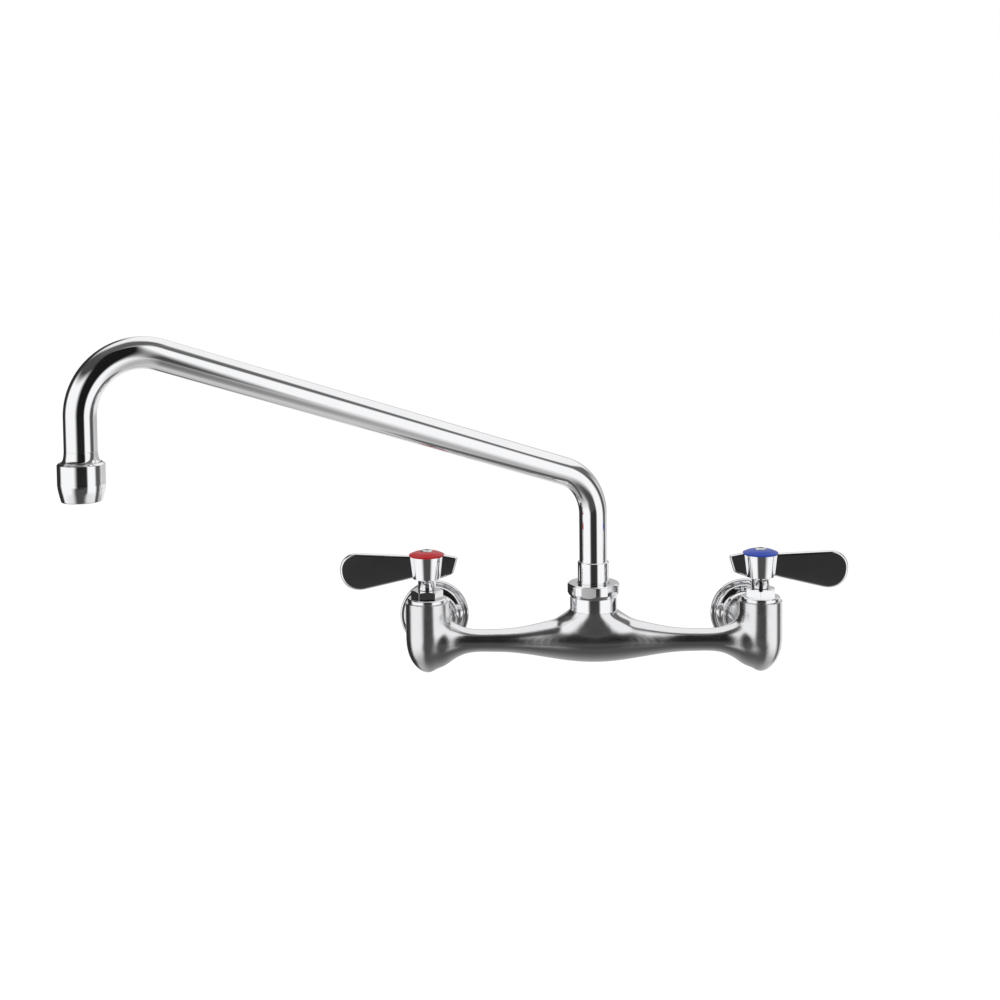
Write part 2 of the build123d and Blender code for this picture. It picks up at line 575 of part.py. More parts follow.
def glide_ring():
    """Plastic ring between the shoulder of the spout and the web of the nut."""
    bottom = NUT_WEB_BOTTOM - GLIDE_RING_THICKNESS
    return tube(BOSS_THREAD_R - OPEN_GAP, SLEEVE_R + OPEN_GAP, bottom, NUT_WEB_BOTTOM)


def spout_shank():
    """Turned foot of the spout: pivot with two O-ring grooves, shoulder and sleeve."""
    pivot_bottom = SOCKET_FLOOR + PIVOT_END_GAP
    socket_r = TUBE_R + SNUG_FIT
    shoulder_top = NUT_WEB_BOTTOM - GLIDE_RING_THICKNESS - FACE_GAP
    piece = turned(
        (PIVOT_BORE_R, pivot_bottom), (PIVOT_R, pivot_bottom), (PIVOT_R, SHOULDER_BOTTOM),
        (SHOULDER_R, SHOULDER_BOTTOM), (SHOULDER_R, shoulder_top), (SLEEVE_R, shoulder_top),
        (SLEEVE_R, SLEEVE_TOP - SLEEVE_EDGE), (SLEEVE_R - SLEEVE_EDGE, SLEEVE_TOP), (socket_r, SLEEVE_TOP),
        (socket_r, TUBE_BOTTOM), (PIVOT_BORE_R, TUBE_BOTTOM))
    for height in (UPPER_RING_Z, LOWER_RING_Z):
        piece -= groove(PIVOT_R, SOCKET_R, SHANK_RING_CORD, height)
    return piece


def spout_tube():
    """Bent tube: riser, rising arm and drop, drawn with the arm along -X."""
    path = FilletPolyline(
        (0, 0, TUBE_BOTTOM), (0, 0, RISER_CORNER_Z), (-SPOUT_REACH, 0, DROP_CORNER_Z),
        (-SPOUT_REACH, 0, TUBE_END_Z), radius=[RISER_BEND_R, DROP_BEND_R])
    ring = Circle(TUBE_R) - Circle(TUBE_INNER_R)
    return sweep(Pos(0, 0, TUBE_BOTTOM) * ring, path)


def outlet_adapter():
    """Flared end of the drop: spigot inside the tube above, thread for the aerator below."""
    spigot_r = TUBE_INNER_R - SNUG_FIT
    return turned(
        (ADAPTER_BORE_R, ADAPTER_BOTTOM), (ADAPTER_THREAD_R, ADAPTER_BOTTOM),
        (ADAPTER_THREAD_R, ADAPTER_THREAD_TOP - ADAPTER_EDGE), (ADAPTER_FLARE_R, ADAPTER_THREAD_TOP),
        (TUBE_R, TUBE_END_Z), (spigot_r, TUBE_END_Z), (spigot_r, TUBE_END_Z + ADAPTER_SPIGOT),
        (ADAPTER_BORE_R, TUBE_END_Z + ADAPTER_SPIGOT))


def aerator_housing():
    """Round cap that screws on the adapter and narrows to the outlet."""
    thread_r = ADAPTER_THREAD_R + SNUG_FIT
    insert_r = INSERT_R + SNUG_FIT
    taper_top = AERATOR_BOTTOM + AERATOR_TAPER_HEIGHT
    taper = Spline((AERATOR_MOUTH_R, AERATOR_BOTTOM), (AERATOR_R, taper_top),
                   tangents=[(AERATOR_MOUTH_SLOPE, 1), (0, 1)])
    rest = Polyline(
        (AERATOR_R, taper_top), (AERATOR_R, AERATOR_TOP - AERATOR_RIM),
        (AERATOR_R - AERATOR_RIM_WIDTH, AERATOR_TOP), (thread_r, AERATOR_TOP), (thread_r, INSERT_TOP),
        (insert_r, INSERT_TOP), (insert_r, INSERT_BOTTOM), (AERATOR_LIP_R, INSERT_BOTTOM),
        (AERATOR_LIP_R, AERATOR_BOTTOM), (AERATOR_MOUTH_R, AERATOR_BOTTOM))
    return revolve(make_face(Plane.XZ * (taper + rest)), Axis.Z)


def aerator_washer():
    """Rubber washer between the adapter and the insert."""
    outer = ADAPTER_THREAD_R - OPEN_GAP
    return tube(outer, outer - AERATOR_WASHER_WIDTH, INSERT_TOP, ADAPTER_BOTTOM)


def aerator_insert():
    """Moulded insert: a plate of jets above and a honeycomb below."""
    piece = rod(INSERT_R, INSERT_BOTTOM, INSERT_TOP)
    piece -= rod(INSERT_R - INSERT_WALL, INSERT_BOTTOM + INSERT_FLOOR, INSERT_TOP - INSERT_FLOOR)
    cell = Pos(0, 0, INSERT_BOTTOM) * extrude(RegularPolygon(HONEYCOMB_CELL_R, 6), INSERT_FLOOR)
    cells = range(-HONEYCOMB_RINGS, HONEYCOMB_RINGS + 1)
    for row in cells:
        for column in cells:
            if abs(row + column) <= HONEYCOMB_RINGS:
                x = HONEYCOMB_PITCH * (column + row / 2)
                y = HONEYCOMB_PITCH * row * sin(pi / 3)
                piece -= Pos(x, y, 0) * cell
    jet = rod(JET_R, INSERT_TOP - INSERT_FLOOR, INSERT_TOP)
    for place in PolarLocations(JET_CIRCLE_R, JET_COUNT):
        piece -= place * jet
    return piece


# ---- every piece in its place --------------------------------------------------------------
SPOUT_PLACE = Pos(0, -WALL_TO_VALVE, 0) * Rot(0, 0, SPOUT_SWING)
OUTLET_PLACE = SPOUT_PLACE * Pos(-SPOUT_REACH, 0, 0)

pieces = {
    "faucet_body": faucet_body(),
    "spout_nut": Pos(0, -WALL_TO_VALVE, 0) * spout_nut(),
    "spout_glide_ring": Pos(0, -WALL_TO_VALVE, 0) * glide_ring(),
    "spout_shank": SPOUT_PLACE * spout_shank(),
    "upper_spout_o_ring": SPOUT_PLACE * o_ring(SOCKET_R, SHANK_RING_CORD, UPPER_RING_Z),
    "lower_spout_o_ring": SPOUT_PLACE * o_ring(SOCKET_R, SHANK_RING_CORD, LOWER_RING_Z),
    "spout_tube": SPOUT_PLACE * spout_tube(),
    "outlet_adapter": OUTLET_PLACE * outlet_adapter(),
    "aerator_housing": OUTLET_PLACE * aerator_housing(),
    "aerator_washer": OUTLET_PLACE * aerator_washer(),
    "aerator_insert": OUTLET_PLACE * aerator_insert(),
}

# name, side, bearing of the lever when shut, first bearing of its travel, turn of the bonnet
VALVES = [("hot", -1, 180, 180, HOT_HEX_TURN), ("cold", 1, 0, -QUARTER_TURN, COLD_HEX_TURN)]

for name, side, lever_bearing, first_bearing, hex_turn in VALVES:
    valve_place = Pos(side * VALVE_X, -WALL_TO_VALVE, 0)
    lever_place = valve_place * Rot(0, 0, lever_bearing)
    pieces[name + "_wall_flange"] = Pos(side * VALVE_X, 0, 0) * wall_flange()
    pieces[name + "_seat_seal"] = valve_place * seat_seal()
    pieces[name + "_lower_disc"] = valve_place * fixed_disc()
    pieces[name + "_upper_disc"] = valve_place * turning_disc()
    pieces[name + "_cartridge_shell"] = valve_place * cartridge_shell()
    pieces[name + "_stem"] = valve_place * stem(lever_bearing)
    pieces[name + "_stem_o_ring"] = valve_place * o_ring(STEM_R + RUNNING_FIT, STEM_RING_CORD, stem_ring_z())
    pieces[name + "_bonnet"] = valve_place * bonnet(first_bearing, hex_turn)
    pieces[name + "_bonnet_seal"] = valve_place * o_ring(CHAMBER_R, BONNET_RING_CORD, bonnet_seal_z())
    pieces[name + "_handle"] = lever_place * handle()
    pieces[name + "_index"] = valve_place * index()
    pieces[name + "_handle_screw"] = lever_place * handle_screw()

for name, piece in pieces.items():
    export_step(piece, os.path.join("parts", name + ".step"))
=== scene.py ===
# %% [markdown]
# A wall-mounted kitchen faucet: a cast body on two inlet shanks, two lever valves and a long
# bent spout that swings. Nearly all of it is polished chrome plate, which has no colour of
# its own. It shows the room, so the shapes have to be smooth and the studio around them has
# to be laid out with care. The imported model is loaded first, as a frame that never moves.

# %% Load the frame
import bpy
import json
import math
from mathutils import Matrix, Vector


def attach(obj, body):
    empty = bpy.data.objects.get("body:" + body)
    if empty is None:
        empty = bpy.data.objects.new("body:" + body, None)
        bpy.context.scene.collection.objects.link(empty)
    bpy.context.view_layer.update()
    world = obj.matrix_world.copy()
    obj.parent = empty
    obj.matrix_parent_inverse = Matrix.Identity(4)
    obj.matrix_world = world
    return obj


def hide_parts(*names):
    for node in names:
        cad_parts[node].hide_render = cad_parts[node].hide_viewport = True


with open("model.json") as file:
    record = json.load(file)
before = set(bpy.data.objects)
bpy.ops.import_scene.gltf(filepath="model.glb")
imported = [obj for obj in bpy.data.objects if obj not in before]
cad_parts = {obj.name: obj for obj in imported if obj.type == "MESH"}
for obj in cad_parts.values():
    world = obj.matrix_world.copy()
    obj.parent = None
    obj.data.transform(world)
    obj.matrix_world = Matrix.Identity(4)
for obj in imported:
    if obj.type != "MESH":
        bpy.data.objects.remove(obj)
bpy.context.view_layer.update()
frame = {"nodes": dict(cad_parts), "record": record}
bpy.ops.object.select_all(action="DESELECT")
MM = 0.001
joints = frame["record"]["behaviour"]["joints"]
axes = {joint["name"]: Vector(joint["pos_m"]).to_2d().to_3d() for joint in joints}
SPOUT_AXIS = axes["spout_swing"]
COLD_AXIS = axes["cold_turn"]
VALVE_AXES = {"hot": axes["hot_turn"], "cold": COLD_AXIS}

# %% [markdown]
# Most pieces of a faucet are turned on a lathe. A circle stands for the first ring of the
# turner's profile; it is extruded and resized from ring to ring until it closes on its axis
# or on its first ring. A spin of a drawn line would give the same form, but extruding keeps
# every ring at a stated radius and height, which is how a turner reads a drawing.

# %% Selecting and turning
RING_STEPS = 96
AXIS_RADIUS = 0.001       # a ring this small is merged into one point on the axis
MERGE_DISTANCE = 0.004


def only(piece):
    """Makes one object the selected and active one."""
    bpy.ops.object.select_all(action="DESELECT")
    piece.select_set(True)
    bpy.context.view_layer.objects.active = piece


def close_up():
    """In edit mode: merges what lies in one place and turns every face outwards."""
    bpy.ops.mesh.select_all(action="SELECT")
    bpy.ops.mesh.remove_doubles(threshold=MERGE_DISTANCE * MM)
    bpy.ops.mesh.normals_make_consistent(inside=False)
    bpy.ops.object.mode_set(mode="OBJECT")


def first_ring(name, radius, height, steps=RING_STEPS):
    """Starts a piece with one ring about Z and selects it for extruding."""
    bpy.ops.mesh.primitive_circle_add(
        vertices=steps, radius=radius * MM, location=(0, 0, height * MM))
    piece = bpy.context.object
    piece.name = name
    bpy.ops.object.transform_apply()
    bpy.ops.object.mode_set(mode="EDIT")
    bpy.ops.mesh.select_all(action="SELECT")
    return piece


def extrude(step):
    """Extrudes the selected ring by a step in millimetres."""
    bpy.ops.mesh.extrude_region_move(
        TRANSFORM_OT_translate={"value": [length * MM for length in step]})


def turn_piece(name, profile, steps=RING_STEPS):
    """Turns a closed piece about Z from (radius, height) rings in millimetres."""
    rings = [(max(radius, AXIS_RADIUS), height) for radius, height in profile]
    radius, height = rings[0]
    piece = first_ring(name, radius, height, steps)
    for next_radius, next_height in rings[1:]:
        extrude((0, 0, next_height - height))
        grow = next_radius / radius
        bpy.ops.transform.resize(
            value=(grow, grow, 1), center_override=(0, 0, next_height * MM))
        radius, height = next_radius, next_height
    close_up()
    return piece


# %% [markdown]
# Round stretches of a profile are arcs, and free ones pass smoothly through a few knots, so
# an outline holds only the points that its shape needs.

# %% Curved stretches of a profile
def arc(middle, radius, first, last, steps):
    """Points of a round stretch; the angles are in degrees, 0 outwards and 90 upwards."""
    points = []
    for step in range(steps + 1):
        bearing = math.radians(first + (last - first) * step / steps)
        points.append((middle[0] + radius * math.cos(bearing),
                       middle[1] + radius * math.sin(bearing)))
    return points


def through(knots, steps):
    """Points of a smooth stretch that passes through every knot."""
    points = [knots[0]]
    for index in range(len(knots) - 1):
        before = knots[max(index - 1, 0)]
        start, end = knots[index], knots[index + 1]
        after = knots[min(index + 2, len(knots) - 1)]
        for step in range(1, steps + 1):
            t = step / steps
            point = []
            for a, b, c, d in zip(before, start, end, after):
                bend = 2 * a - 5 * b + 4 * c - d + t * (3 * (b - c) + d - a)
                point.append(b + 0.5 * t * (c - a + t * bend))
            points.append(tuple(point))
    return points


# %% [markdown]
# The polisher's wheel eases every edge. A bevel with a small width stands for that wheel, and
# it matters more than its size says, because a chromed edge shows as a thin bright line.

# %% Polishing
def modify(piece, kind, **settings):
    """Gives a piece one modifier and applies it."""
    only(piece)
    modifier = piece.modifiers.new(kind, kind)
    for setting, value in settings.items():
        setattr(modifier, setting, value)
    bpy.ops.object.modifier_apply(modifier=modifier.name)


def shade(piece, angle=35):
    """Smooth shading that follows the large faces."""
    only(piece)
    bpy.ops.object.shade_smooth_by_angle(angle=math.radians(angle))
    modify(piece, "WEIGHTED_NORMAL", keep_sharp=True)


def ease_edges(piece, width, angle=25, segments=3):
    """Rounds the sharp edges a little and keeps flats looking flat."""
    modify(piece, "BEVEL", width=width * MM, segments=segments, limit_method="ANGLE",
           angle_limit=math.radians(angle))
    shade(piece)


# %% [markdown]
# Booleans join and drill closed forms. A flat could be cut that way too, but a bisecting plane
# needs no tool and closes its own cut, so it is the milling cutter here.

# %% Placing, joining and milling
def put(piece, place, turn=0.0, tilt=0.0):
    """Tilts a piece about X, turns it about Z and moves it to its place."""
    only(piece)
    piece.matrix_world = (Matrix.Translation(place) @ Matrix.Rotation(turn, 4, "Z")
                          @ Matrix.Rotation(tilt, 4, "X"))
    bpy.ops.object.transform_apply()


def combine(piece, tool, operation):
    """Joins a tool to a piece or cuts it away, and removes the tool."""
    modify(piece, "BOOLEAN", operation=operation, object=tool, solver="EXACT")
    bpy.data.objects.remove(tool, do_unlink=True)


def pick(piece, kind, wanted):
    """Selects the vertices or edges that a rule wants, and goes to edit mode."""
    only(piece)
    bpy.ops.object.mode_set(mode="EDIT")
    bpy.ops.mesh.select_mode(type=kind)
    bpy.ops.mesh.select_all(action="DESELECT")
    bpy.ops.object.mode_set(mode="OBJECT")
    for part in piece.data.edges if kind == "EDGE" else piece.data.vertices:
        part.select = wanted(part)
    bpy.ops.object.mode_set(mode="EDIT")


def slice_off(piece, point, outwards, within=lambda place: True):
    """Cuts away what lies beyond a plane and closes the cut."""
    pick(piece, "VERT", lambda vertex: within(vertex.co))
    bpy.ops.mesh.bisect(plane_co=point, plane_no=outwards, use_fill=True, clear_outer=True)
    bpy.ops.object.mode_set(mode="OBJECT")


# %% [markdown]
# A finish is a small tree of nodes that starts from Object coordinates, so its pattern has a
# size in real millimetres and turns with its piece.

# %% Building node trees
def fill(tree, node, inputs):
    """Sets each named input of a node to a value, or links it from another node."""
    for name, value in inputs.items():
        if isinstance(value, bpy.types.NodeSocket):
            tree.links.new(value, node.inputs[name])
        else:
            node.inputs[name].default_value = value


def add(tree, kind, inputs=None, **settings):
    """Adds a node with its settings and its inputs, and gives back its outputs."""
    node = tree.nodes.new("ShaderNode" + kind)
    for setting, value in settings.items():
        setattr(node, setting, value)
    fill(tree, node, inputs or {})
    return node.outputs


def noise(tree, place, scale, detail=2.0):
    """A noise texture; its scale is in cells per metre."""
    return add(tree, "TexNoise", {"Vector": place, "Scale": scale, "Detail": detail})["Fac"]


def calculate(tree, operation, first, second=0.0):
    """One sum."""
    return add(tree, "Math", {0: first, 1: second}, operation=operation)[0]


def between(tree, value, start, end, low=0.0, high=1.0, course="SMOOTHSTEP"):
    """Runs from low to high while value goes from start to end."""
    ends = {"From Min": start, "From Max": end, "To Min": low, "To Max": high}
    return add(tree, "MapRange", {"Value": value, **ends}, interpolation_type=course)["Result"]


def spread(tree, value, low, high):
    """Maps a noise value to a range."""
    return between(tree, value, 0.3, 0.7, low, high, "LINEAR")


def two_shades(tree, share, bright, deep):
    """Mixes two shades of a colour."""
    shades = {"A": (*bright, 1), "B": (*deep, 1)}
    return add(tree, "Mix", {"Factor": share, **shades}, data_type="RGBA")["Result"]


def new_material(name):
    """A material with its tree and its object coordinates."""
    material = bpy.data.materials.new(name)
    material.use_nodes = True
    print("material:", name)
    return material, material.node_tree, add(material.node_tree, "TexCoord")["Object"]


# %% [markdown]
# Chrome plate is a mirror, so its material is a metal of low roughness. What makes it look
# plated and not computed is small: the polisher leaves a faint waviness, a casting keeps more
# of it than drawn tube does, and handling leaves patches that are a little duller. The casting
# is a shade darker too, and hazier on its stout barrels than on its slim bar.

# %% Chrome
HAZE_START = 0.078        # metres to each side
HAZE_END = 0.090
BRIGHT_CHROME = (0.95, 0.95, 0.96)
DEEP_CHROME = (0.90, 0.905, 0.92)


def chrome(name, roughness, waviness, wave_scale, lustre=1.0, haze=0.0):
    """Polished plate: its roughness range, and the height in millimetres of its waviness.

    Lustre darkens the metal, and haze is the roughness that the valve barrels have on top.
    """
    material, tree, place = new_material(name)
    shades = [[lustre * value for value in colour] for colour in (BRIGHT_CHROME, DEEP_CHROME)]
    dull = spread(tree, noise(tree, place, 130, 4), *roughness)
    if haze:
        aside = calculate(tree, "ABSOLUTE", add(tree, "SeparateXYZ", {0: place})["X"])
        barrel_haze = between(tree, aside, HAZE_START, HAZE_END, 0, haze)
        dull = calculate(tree, "ADD", dull, barrel_haze)
    waves = add(tree, "Bump", {"Strength": 1.0, "Distance": waviness * MM,
                               "Height": noise(tree, place, wave_scale, 1)})["Normal"]
    fill(tree, tree.nodes["Principled BSDF"], {
        "Metallic": 1.0, "Base Color": two_shades(tree, noise(tree, place, 60), *shades),
        "Roughness": dull, "Normal": waves})
    return material


CAST_CHROME = chrome(
    "polished chrome on a casting", (0.12, 0.18), 0.02, 90, lustre=0.9, haze=0.05)
TURNED_CHROME = chrome("polished chrome on turned brass", (0.03, 0.06), 0.002, 160)
TUBE_CHROME = chrome("polished chrome on drawn tube", (0.03, 0.05), 0.003, 60)
LEVER_CHROME = chrome("polished chrome on a lever", (0.05, 0.09), 0.004, 80)

# %% [markdown]
# The rest is moulded or machined. One flat colour looks like paint on a screen, so each has
# two close shades and an uneven roughness. The indexes get little extra shine, which keeps
# their colour full under a white roof.

# %% Other finishes
def plain(name, colour, deeper, roughness, metallic=0.0, shine=0.5):
    """Moulded or machined stuff: two shades of one colour and an uneven roughness."""
    material, tree, place = new_material(name)
    fill(tree, tree.nodes["Principled BSDF"], {
        "Metallic": metallic, "Specular IOR Level": shine,
        "Base Color": two_shades(tree, noise(tree, place, 300, 3), colour, deeper),
        "Roughness": spread(tree, noise(tree, place, 700, 4), *roughness)})
    return material


RED = plain(
    "red index moulding", (0.50, 0.014, 0.022), (0.40, 0.008, 0.014), (0.2, 0.3), shine=0.2)
BLUE = plain(
    "blue index moulding", (0.03, 0.07, 0.42), (0.02, 0.045, 0.32), (0.2, 0.3), shine=0.2)
STEEL = plain(
    "bright screw steel", (0.78, 0.78, 0.79), (0.66, 0.66, 0.68), (0.15, 0.25), metallic=1.0)
BRASS = plain(
    "machined brass", (0.74, 0.55, 0.25), (0.62, 0.43, 0.17), (0.2, 0.35), metallic=1.0)
CERAMIC = plain("lapped ceramic", (0.90, 0.89, 0.86), (0.84, 0.83, 0.80), (0.1, 0.2))
RUBBER = plain("moulded rubber", (0.03, 0.03, 0.03), (0.015, 0.015, 0.015), (0.55, 0.75))
WHITE_PLASTIC = plain("white acetal", (0.86, 0.86, 0.84), (0.80, 0.80, 0.78), (0.35, 0.5))
GREY_PLASTIC = plain("grey acetal", (0.50, 0.51, 0.52), (0.42, 0.43, 0.44), (0.35, 0.5))

# %% [markdown]
# The pieces inside keep their CAD shape. A few of them show, such as the honeycomb in the
# spout's mouth, so each gets the finish that its name asks for.

# %% Dressing pieces
for name, node in frame["nodes"].items():
    if "seal" in name or "o_ring" in name or name == "aerator_washer":
        finish = RUBBER
    elif "disc" in name:
        finish = CERAMIC
    elif "stem" in name or "shell" in name:
        finish = BRASS
    elif name == "spout_glide_ring":
        finish = WHITE_PLASTIC
    elif name == "aerator_insert":
        finish = GREY_PLASTIC
    else:
        finish = TURNED_CHROME
    node.data.materials.clear()
    node.data.materials.append(finish)
print(len(frame["nodes"]), "CAD nodes have a finish")


def dress(piece, material, slot, body, *nodes):
    """Gives a piece its finish and the body it rides on, and hides the nodes it stands for."""
    piece.data.materials.clear()
    piece.data.materials.append(material)
    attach(piece, body)
    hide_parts(*nodes)
    print(piece.name, len(piece.data.vertices), "vertices")


# %% [markdown]
# The body is one sand casting: two valve barrels with pear-shaped feet, a bar that swells
# under the spout, a boss and two shanks. It could be sculpted as one mesh, but simple forms
# that overlap are easier to measure. The barrel is turned, and stands too tall by what the
# milling will take off.

# %% Valve barrel
BARREL_RADIUS = 13.2
BARREL_TOP = 24.8
PEAR_TOP = 5.0
PEAR_DEPTH = 24.1
PEAR_FULLNESS = 2.55      # how far down the foot keeps its width
PEAR_ROUNDNESS = 0.625    # how blunt its point is
PEAR_STEPS = 32
CUT_ALLOWANCE = 6.0       # extra metal that the milling takes off


def barrel_blank():
    """A valve barrel with its pear-shaped foot, too tall by the milling allowance."""
    profile = []
    for step in range(PEAR_STEPS + 1):
        share = math.cos(math.pi / 2 * step / PEAR_STEPS)
        radius = BARREL_RADIUS * (1 - share ** PEAR_FULLNESS) ** PEAR_ROUNDNESS
        profile.append((radius, PEAR_TOP - share * PEAR_DEPTH))
    top = BARREL_TOP + CUT_ALLOWANCE
    profile += [(BARREL_RADIUS, (PEAR_TOP + top) / 2), (BARREL_RADIUS, top), (0, top)]
    return turn_piece("barrel", profile)


# %% [markdown]
# The bar changes its section all the way. A curve with a bevel would keep one section, so an
# ellipse is extruded from place to place and resized at each.

# %% Mixing bar
BAR_HEIGHT = 0.7
BELLY_RADIUS = 13.2
WAIST_RADIUS = 6.93
WAIST_X = 60.0
RIDGE_RISE = 2.0
RIDGE_RUN = 36.0          # over which it fades out
BAR_STEPS = 60
BARREL_FLARE = [          # x, half depth, half height
    (60.0, 6.93, 6.93), (71.0, 6.93, 6.93), (78.0, 7.5, 8.0), (85.0, 9.0, 11.3),
    (90.0, 10.7, 15.0), (95.0, 11.0, 17.0)]


def loft_piece(name, sections):
    """Extrudes an ellipse along X: each section is (x, middle height, half depth, half height)."""
    x, middle, half_depth, half_height = sections[0]
    bpy.ops.mesh.primitive_circle_add(
        vertices=RING_STEPS, radius=MM, fill_type="NGON", rotation=(0, math.pi / 2, 0))
    piece = bpy.context.object
    piece.name = name
    piece.scale = (half_height, half_depth, 1)
    piece.location = (x * MM, 0, middle * MM)
    bpy.ops.object.transform_apply()
    bpy.ops.object.mode_set(mode="EDIT")
    bpy.ops.mesh.select_all(action="SELECT")
    for next_x, next_middle, next_depth, next_height in sections[1:]:
        extrude((next_x - x, 0, next_middle - middle))
        grow = (1, next_depth / half_depth, next_height / half_height)
        bpy.ops.transform.resize(
            value=grow, center_override=(next_x * MM, 0, next_middle * MM))
        x, middle, half_depth, half_height = next_x, next_middle, next_depth, next_height
    close_up()
    return piece


def bar_blank():
    """The mixing bar: a full belly, slim waists and a flare into each barrel."""
    right = []
    for step in range(BAR_STEPS + 1):
        x = WAIST_X * step / BAR_STEPS
        swell = (1 + math.cos(math.pi * x / WAIST_X)) / 2
        radius = WAIST_RADIUS + (BELLY_RADIUS - WAIST_RADIUS) * swell
        ridge = RIDGE_RISE * min(1, (WAIST_X - x) / RIDGE_RUN) ** 2
        right.append((x, BAR_HEIGHT + ridge / 2, radius, radius + ridge / 2))
    for x, half_depth, half_height in through(BARREL_FLARE, 10)[1:]:
        right.append((x, BAR_HEIGHT, half_depth, half_height))
    left = [(-section[0], *section[1:]) for section in reversed(right[1:])]
    return loft_piece("bar", left + right)


# %% [markdown]
# The spout boss spreads downwards until it lies over the bar like a saddle. It is lofted lying
# down, with the bar's own tool. The shanks are round.

# %% Spout boss and inlet shank
BOSS_SEAT = 20.1
BOSS_SPREAD = [           # height, 0, half depth, half width
    (BOSS_SEAT + CUT_ALLOWANCE, 0, 14.4, 14.4), (BOSS_SEAT, 0, 14.4, 14.4),
    (17.9, 0, 14.3, 17.0), (13.7, 0, 13.9, 23.5), (8.1, 0, 13.2, 27.0), (0.7, 0, 11.0, 28.0)]
SHANK_RADIUS = 12.6
valve_x = COLD_AXIS.x / MM
wall_to_valve = -COLD_AXIS.y / MM


def boss_blank():
    """The spout boss, lofted lying down and then stood up."""
    piece = loft_piece("boss", through(BOSS_SPREAD, 12))
    piece.rotation_euler = (0, -math.pi / 2, 0)
    bpy.ops.object.transform_apply()
    return piece


def shank_blank():
    """The round shank that carries a valve from the wall."""
    length = wall_to_valve + CUT_ALLOWANCE
    piece = turn_piece("shank", [(0, 0), (SHANK_RADIUS, 0), (SHANK_RADIUS, length), (0, length)])
    put(piece, (0, 0, 0), tilt=-math.pi / 2)
    return piece


print("valves", valve_x, "mm to each side,", wall_to_valve, "mm from the wall")

# %% [markdown]
# A voxel remesh welds the forms into one skin. Booleans would leave sharp creases, and a
# casting has none. Smoothing then works like the polisher's mop: a little all over, and a lot
# in the corners where two forms meet. It rubs the slim bar out of shape, so the open bar is
# pulled back onto the form it came from.

# %% Welding and polishing the casting
VOXEL = 0.7
FIRST_POLISH = 24
CORNER_POLISH = 80
LAST_POLISH = 8


def weld(forms, name):
    """Joins forms that overlap and remeshes them as one skin."""
    bpy.ops.object.select_all(action="DESELECT")
    for form in forms:
        form.select_set(True)
    bpy.context.view_layer.objects.active = forms[0]
    bpy.ops.object.join()
    blank = bpy.context.object
    blank.name = name
    modify(blank, "REMESH", mode="VOXEL", voxel_size=VOXEL * MM)
    return blank


def smooth(piece, times, group=""):
    """Smooths the whole piece or one vertex group."""
    modify(piece, "SMOOTH", factor=0.5, iterations=times, vertex_group=group)


def corner_weight(x, y, z):
    """How much a place is a corner between two forms, from 0 to 1."""
    if z > BOSS_SEAT - 2:  # the boss's top stays round
        return 0
    weight = 0.0
    if abs(x) < valve_x and z < 19:  # the bar's ends
        from_valve = math.hypot(valve_x - abs(x), y)
        weight = 1 - abs(from_valve - 16) / 10
    if z > 4 and abs(x) < 40:  # the foot of the boss
        weight = max(weight, 1 - abs(math.hypot(x, y) - 20) / 12)
    if y > 8:  # where the shanks begin
        weight = max(weight, 1 - abs(y - 15) / 8)
    return max(0, min(1, 1.6 * weight))


def bar_weight(x, y, z):
    """How freely the bar lies open, away from the boss and the barrels, from 0 to 1."""
    beyond_boss = max((abs(x) - 30) / 10, (5 - z) / 3)
    return max(0, min(1, beyond_boss, (68 - abs(x)) / 8))


def mark(piece, name, weigh):
    """A vertex group whose weights come from a rule about the place in millimetres."""
    group = piece.vertex_groups.new(name=name)
    for vertex in piece.data.vertices:
        weight = weigh(*(vertex.co / MM))
        if weight > 0:
            group.add([vertex.index], weight, "REPLACE")


def follow(piece, guide, group):
    """Pulls one region of a piece back onto the form it was made from."""
    modify(piece, "SHRINKWRAP", target=guide, vertex_group=group)
    bpy.data.objects.remove(guide, do_unlink=True)


bar_guide = bar_blank()
forms = [bar_blank(), boss_blank()]
for side in (-1, 1):
    for form in (barrel_blank(), shank_blank()):
        put(form, (side * valve_x * MM, 0, 0))
        forms.append(form)
cast_body = weld(forms, "cast_body")
smooth(cast_body, FIRST_POLISH)
mark(cast_body, "corners", corner_weight)
smooth(cast_body, CORNER_POLISH, "corners")
mark(cast_body, "bar", bar_weight)
follow(cast_body, bar_guide, "bar")
smooth(cast_body, LAST_POLISH)
put(cast_body, COLD_AXIS * Vector((0, 1, 0)))
print("casting", len(cast_body.data.polygons), "faces")

# %% [markdown]
# The machine shop comes after the polisher, so its cuts stay crisp: the face at the wall, the
# seats, the spout's socket, the cartridges' chambers and the tapped inlets. The taps cut rings
# and no helix, which nobody can tell apart in a dark hole.

# %% Machining the casting
INLET_RADIUS = 9.3
INLET_DEPTH = 16.0
CHAMBER_RADIUS = 9.6
CHAMBER_FLOOR = -4.0
SOCKET_RADIUS = 8.55
SOCKET_FLOOR = 6.0
THREAD_DEPTH = 0.7
THREAD_PITCH = 1.8

slice_off(cast_body, (0, 0, 0), (0, 1, 0))
slice_off(cast_body, (0, 0, BOSS_SEAT * MM), (0, 0, 1),
          lambda place: abs(place.x) < 0.03 and place.z > 0.016)
for side in (-1, 1):
    slice_off(cast_body, (0, 0, BARREL_TOP * MM), (0, 0, 1),
              lambda place: place.x * side > 0.08 and place.z > 0.018)


def bore(place, radius, floor, top):
    """Drills one round hole."""
    drill = turn_piece("drill", [(0, floor), (radius, floor), (radius, top), (0, top)])
    put(drill, place)
    combine(cast_body, drill, "DIFFERENCE")


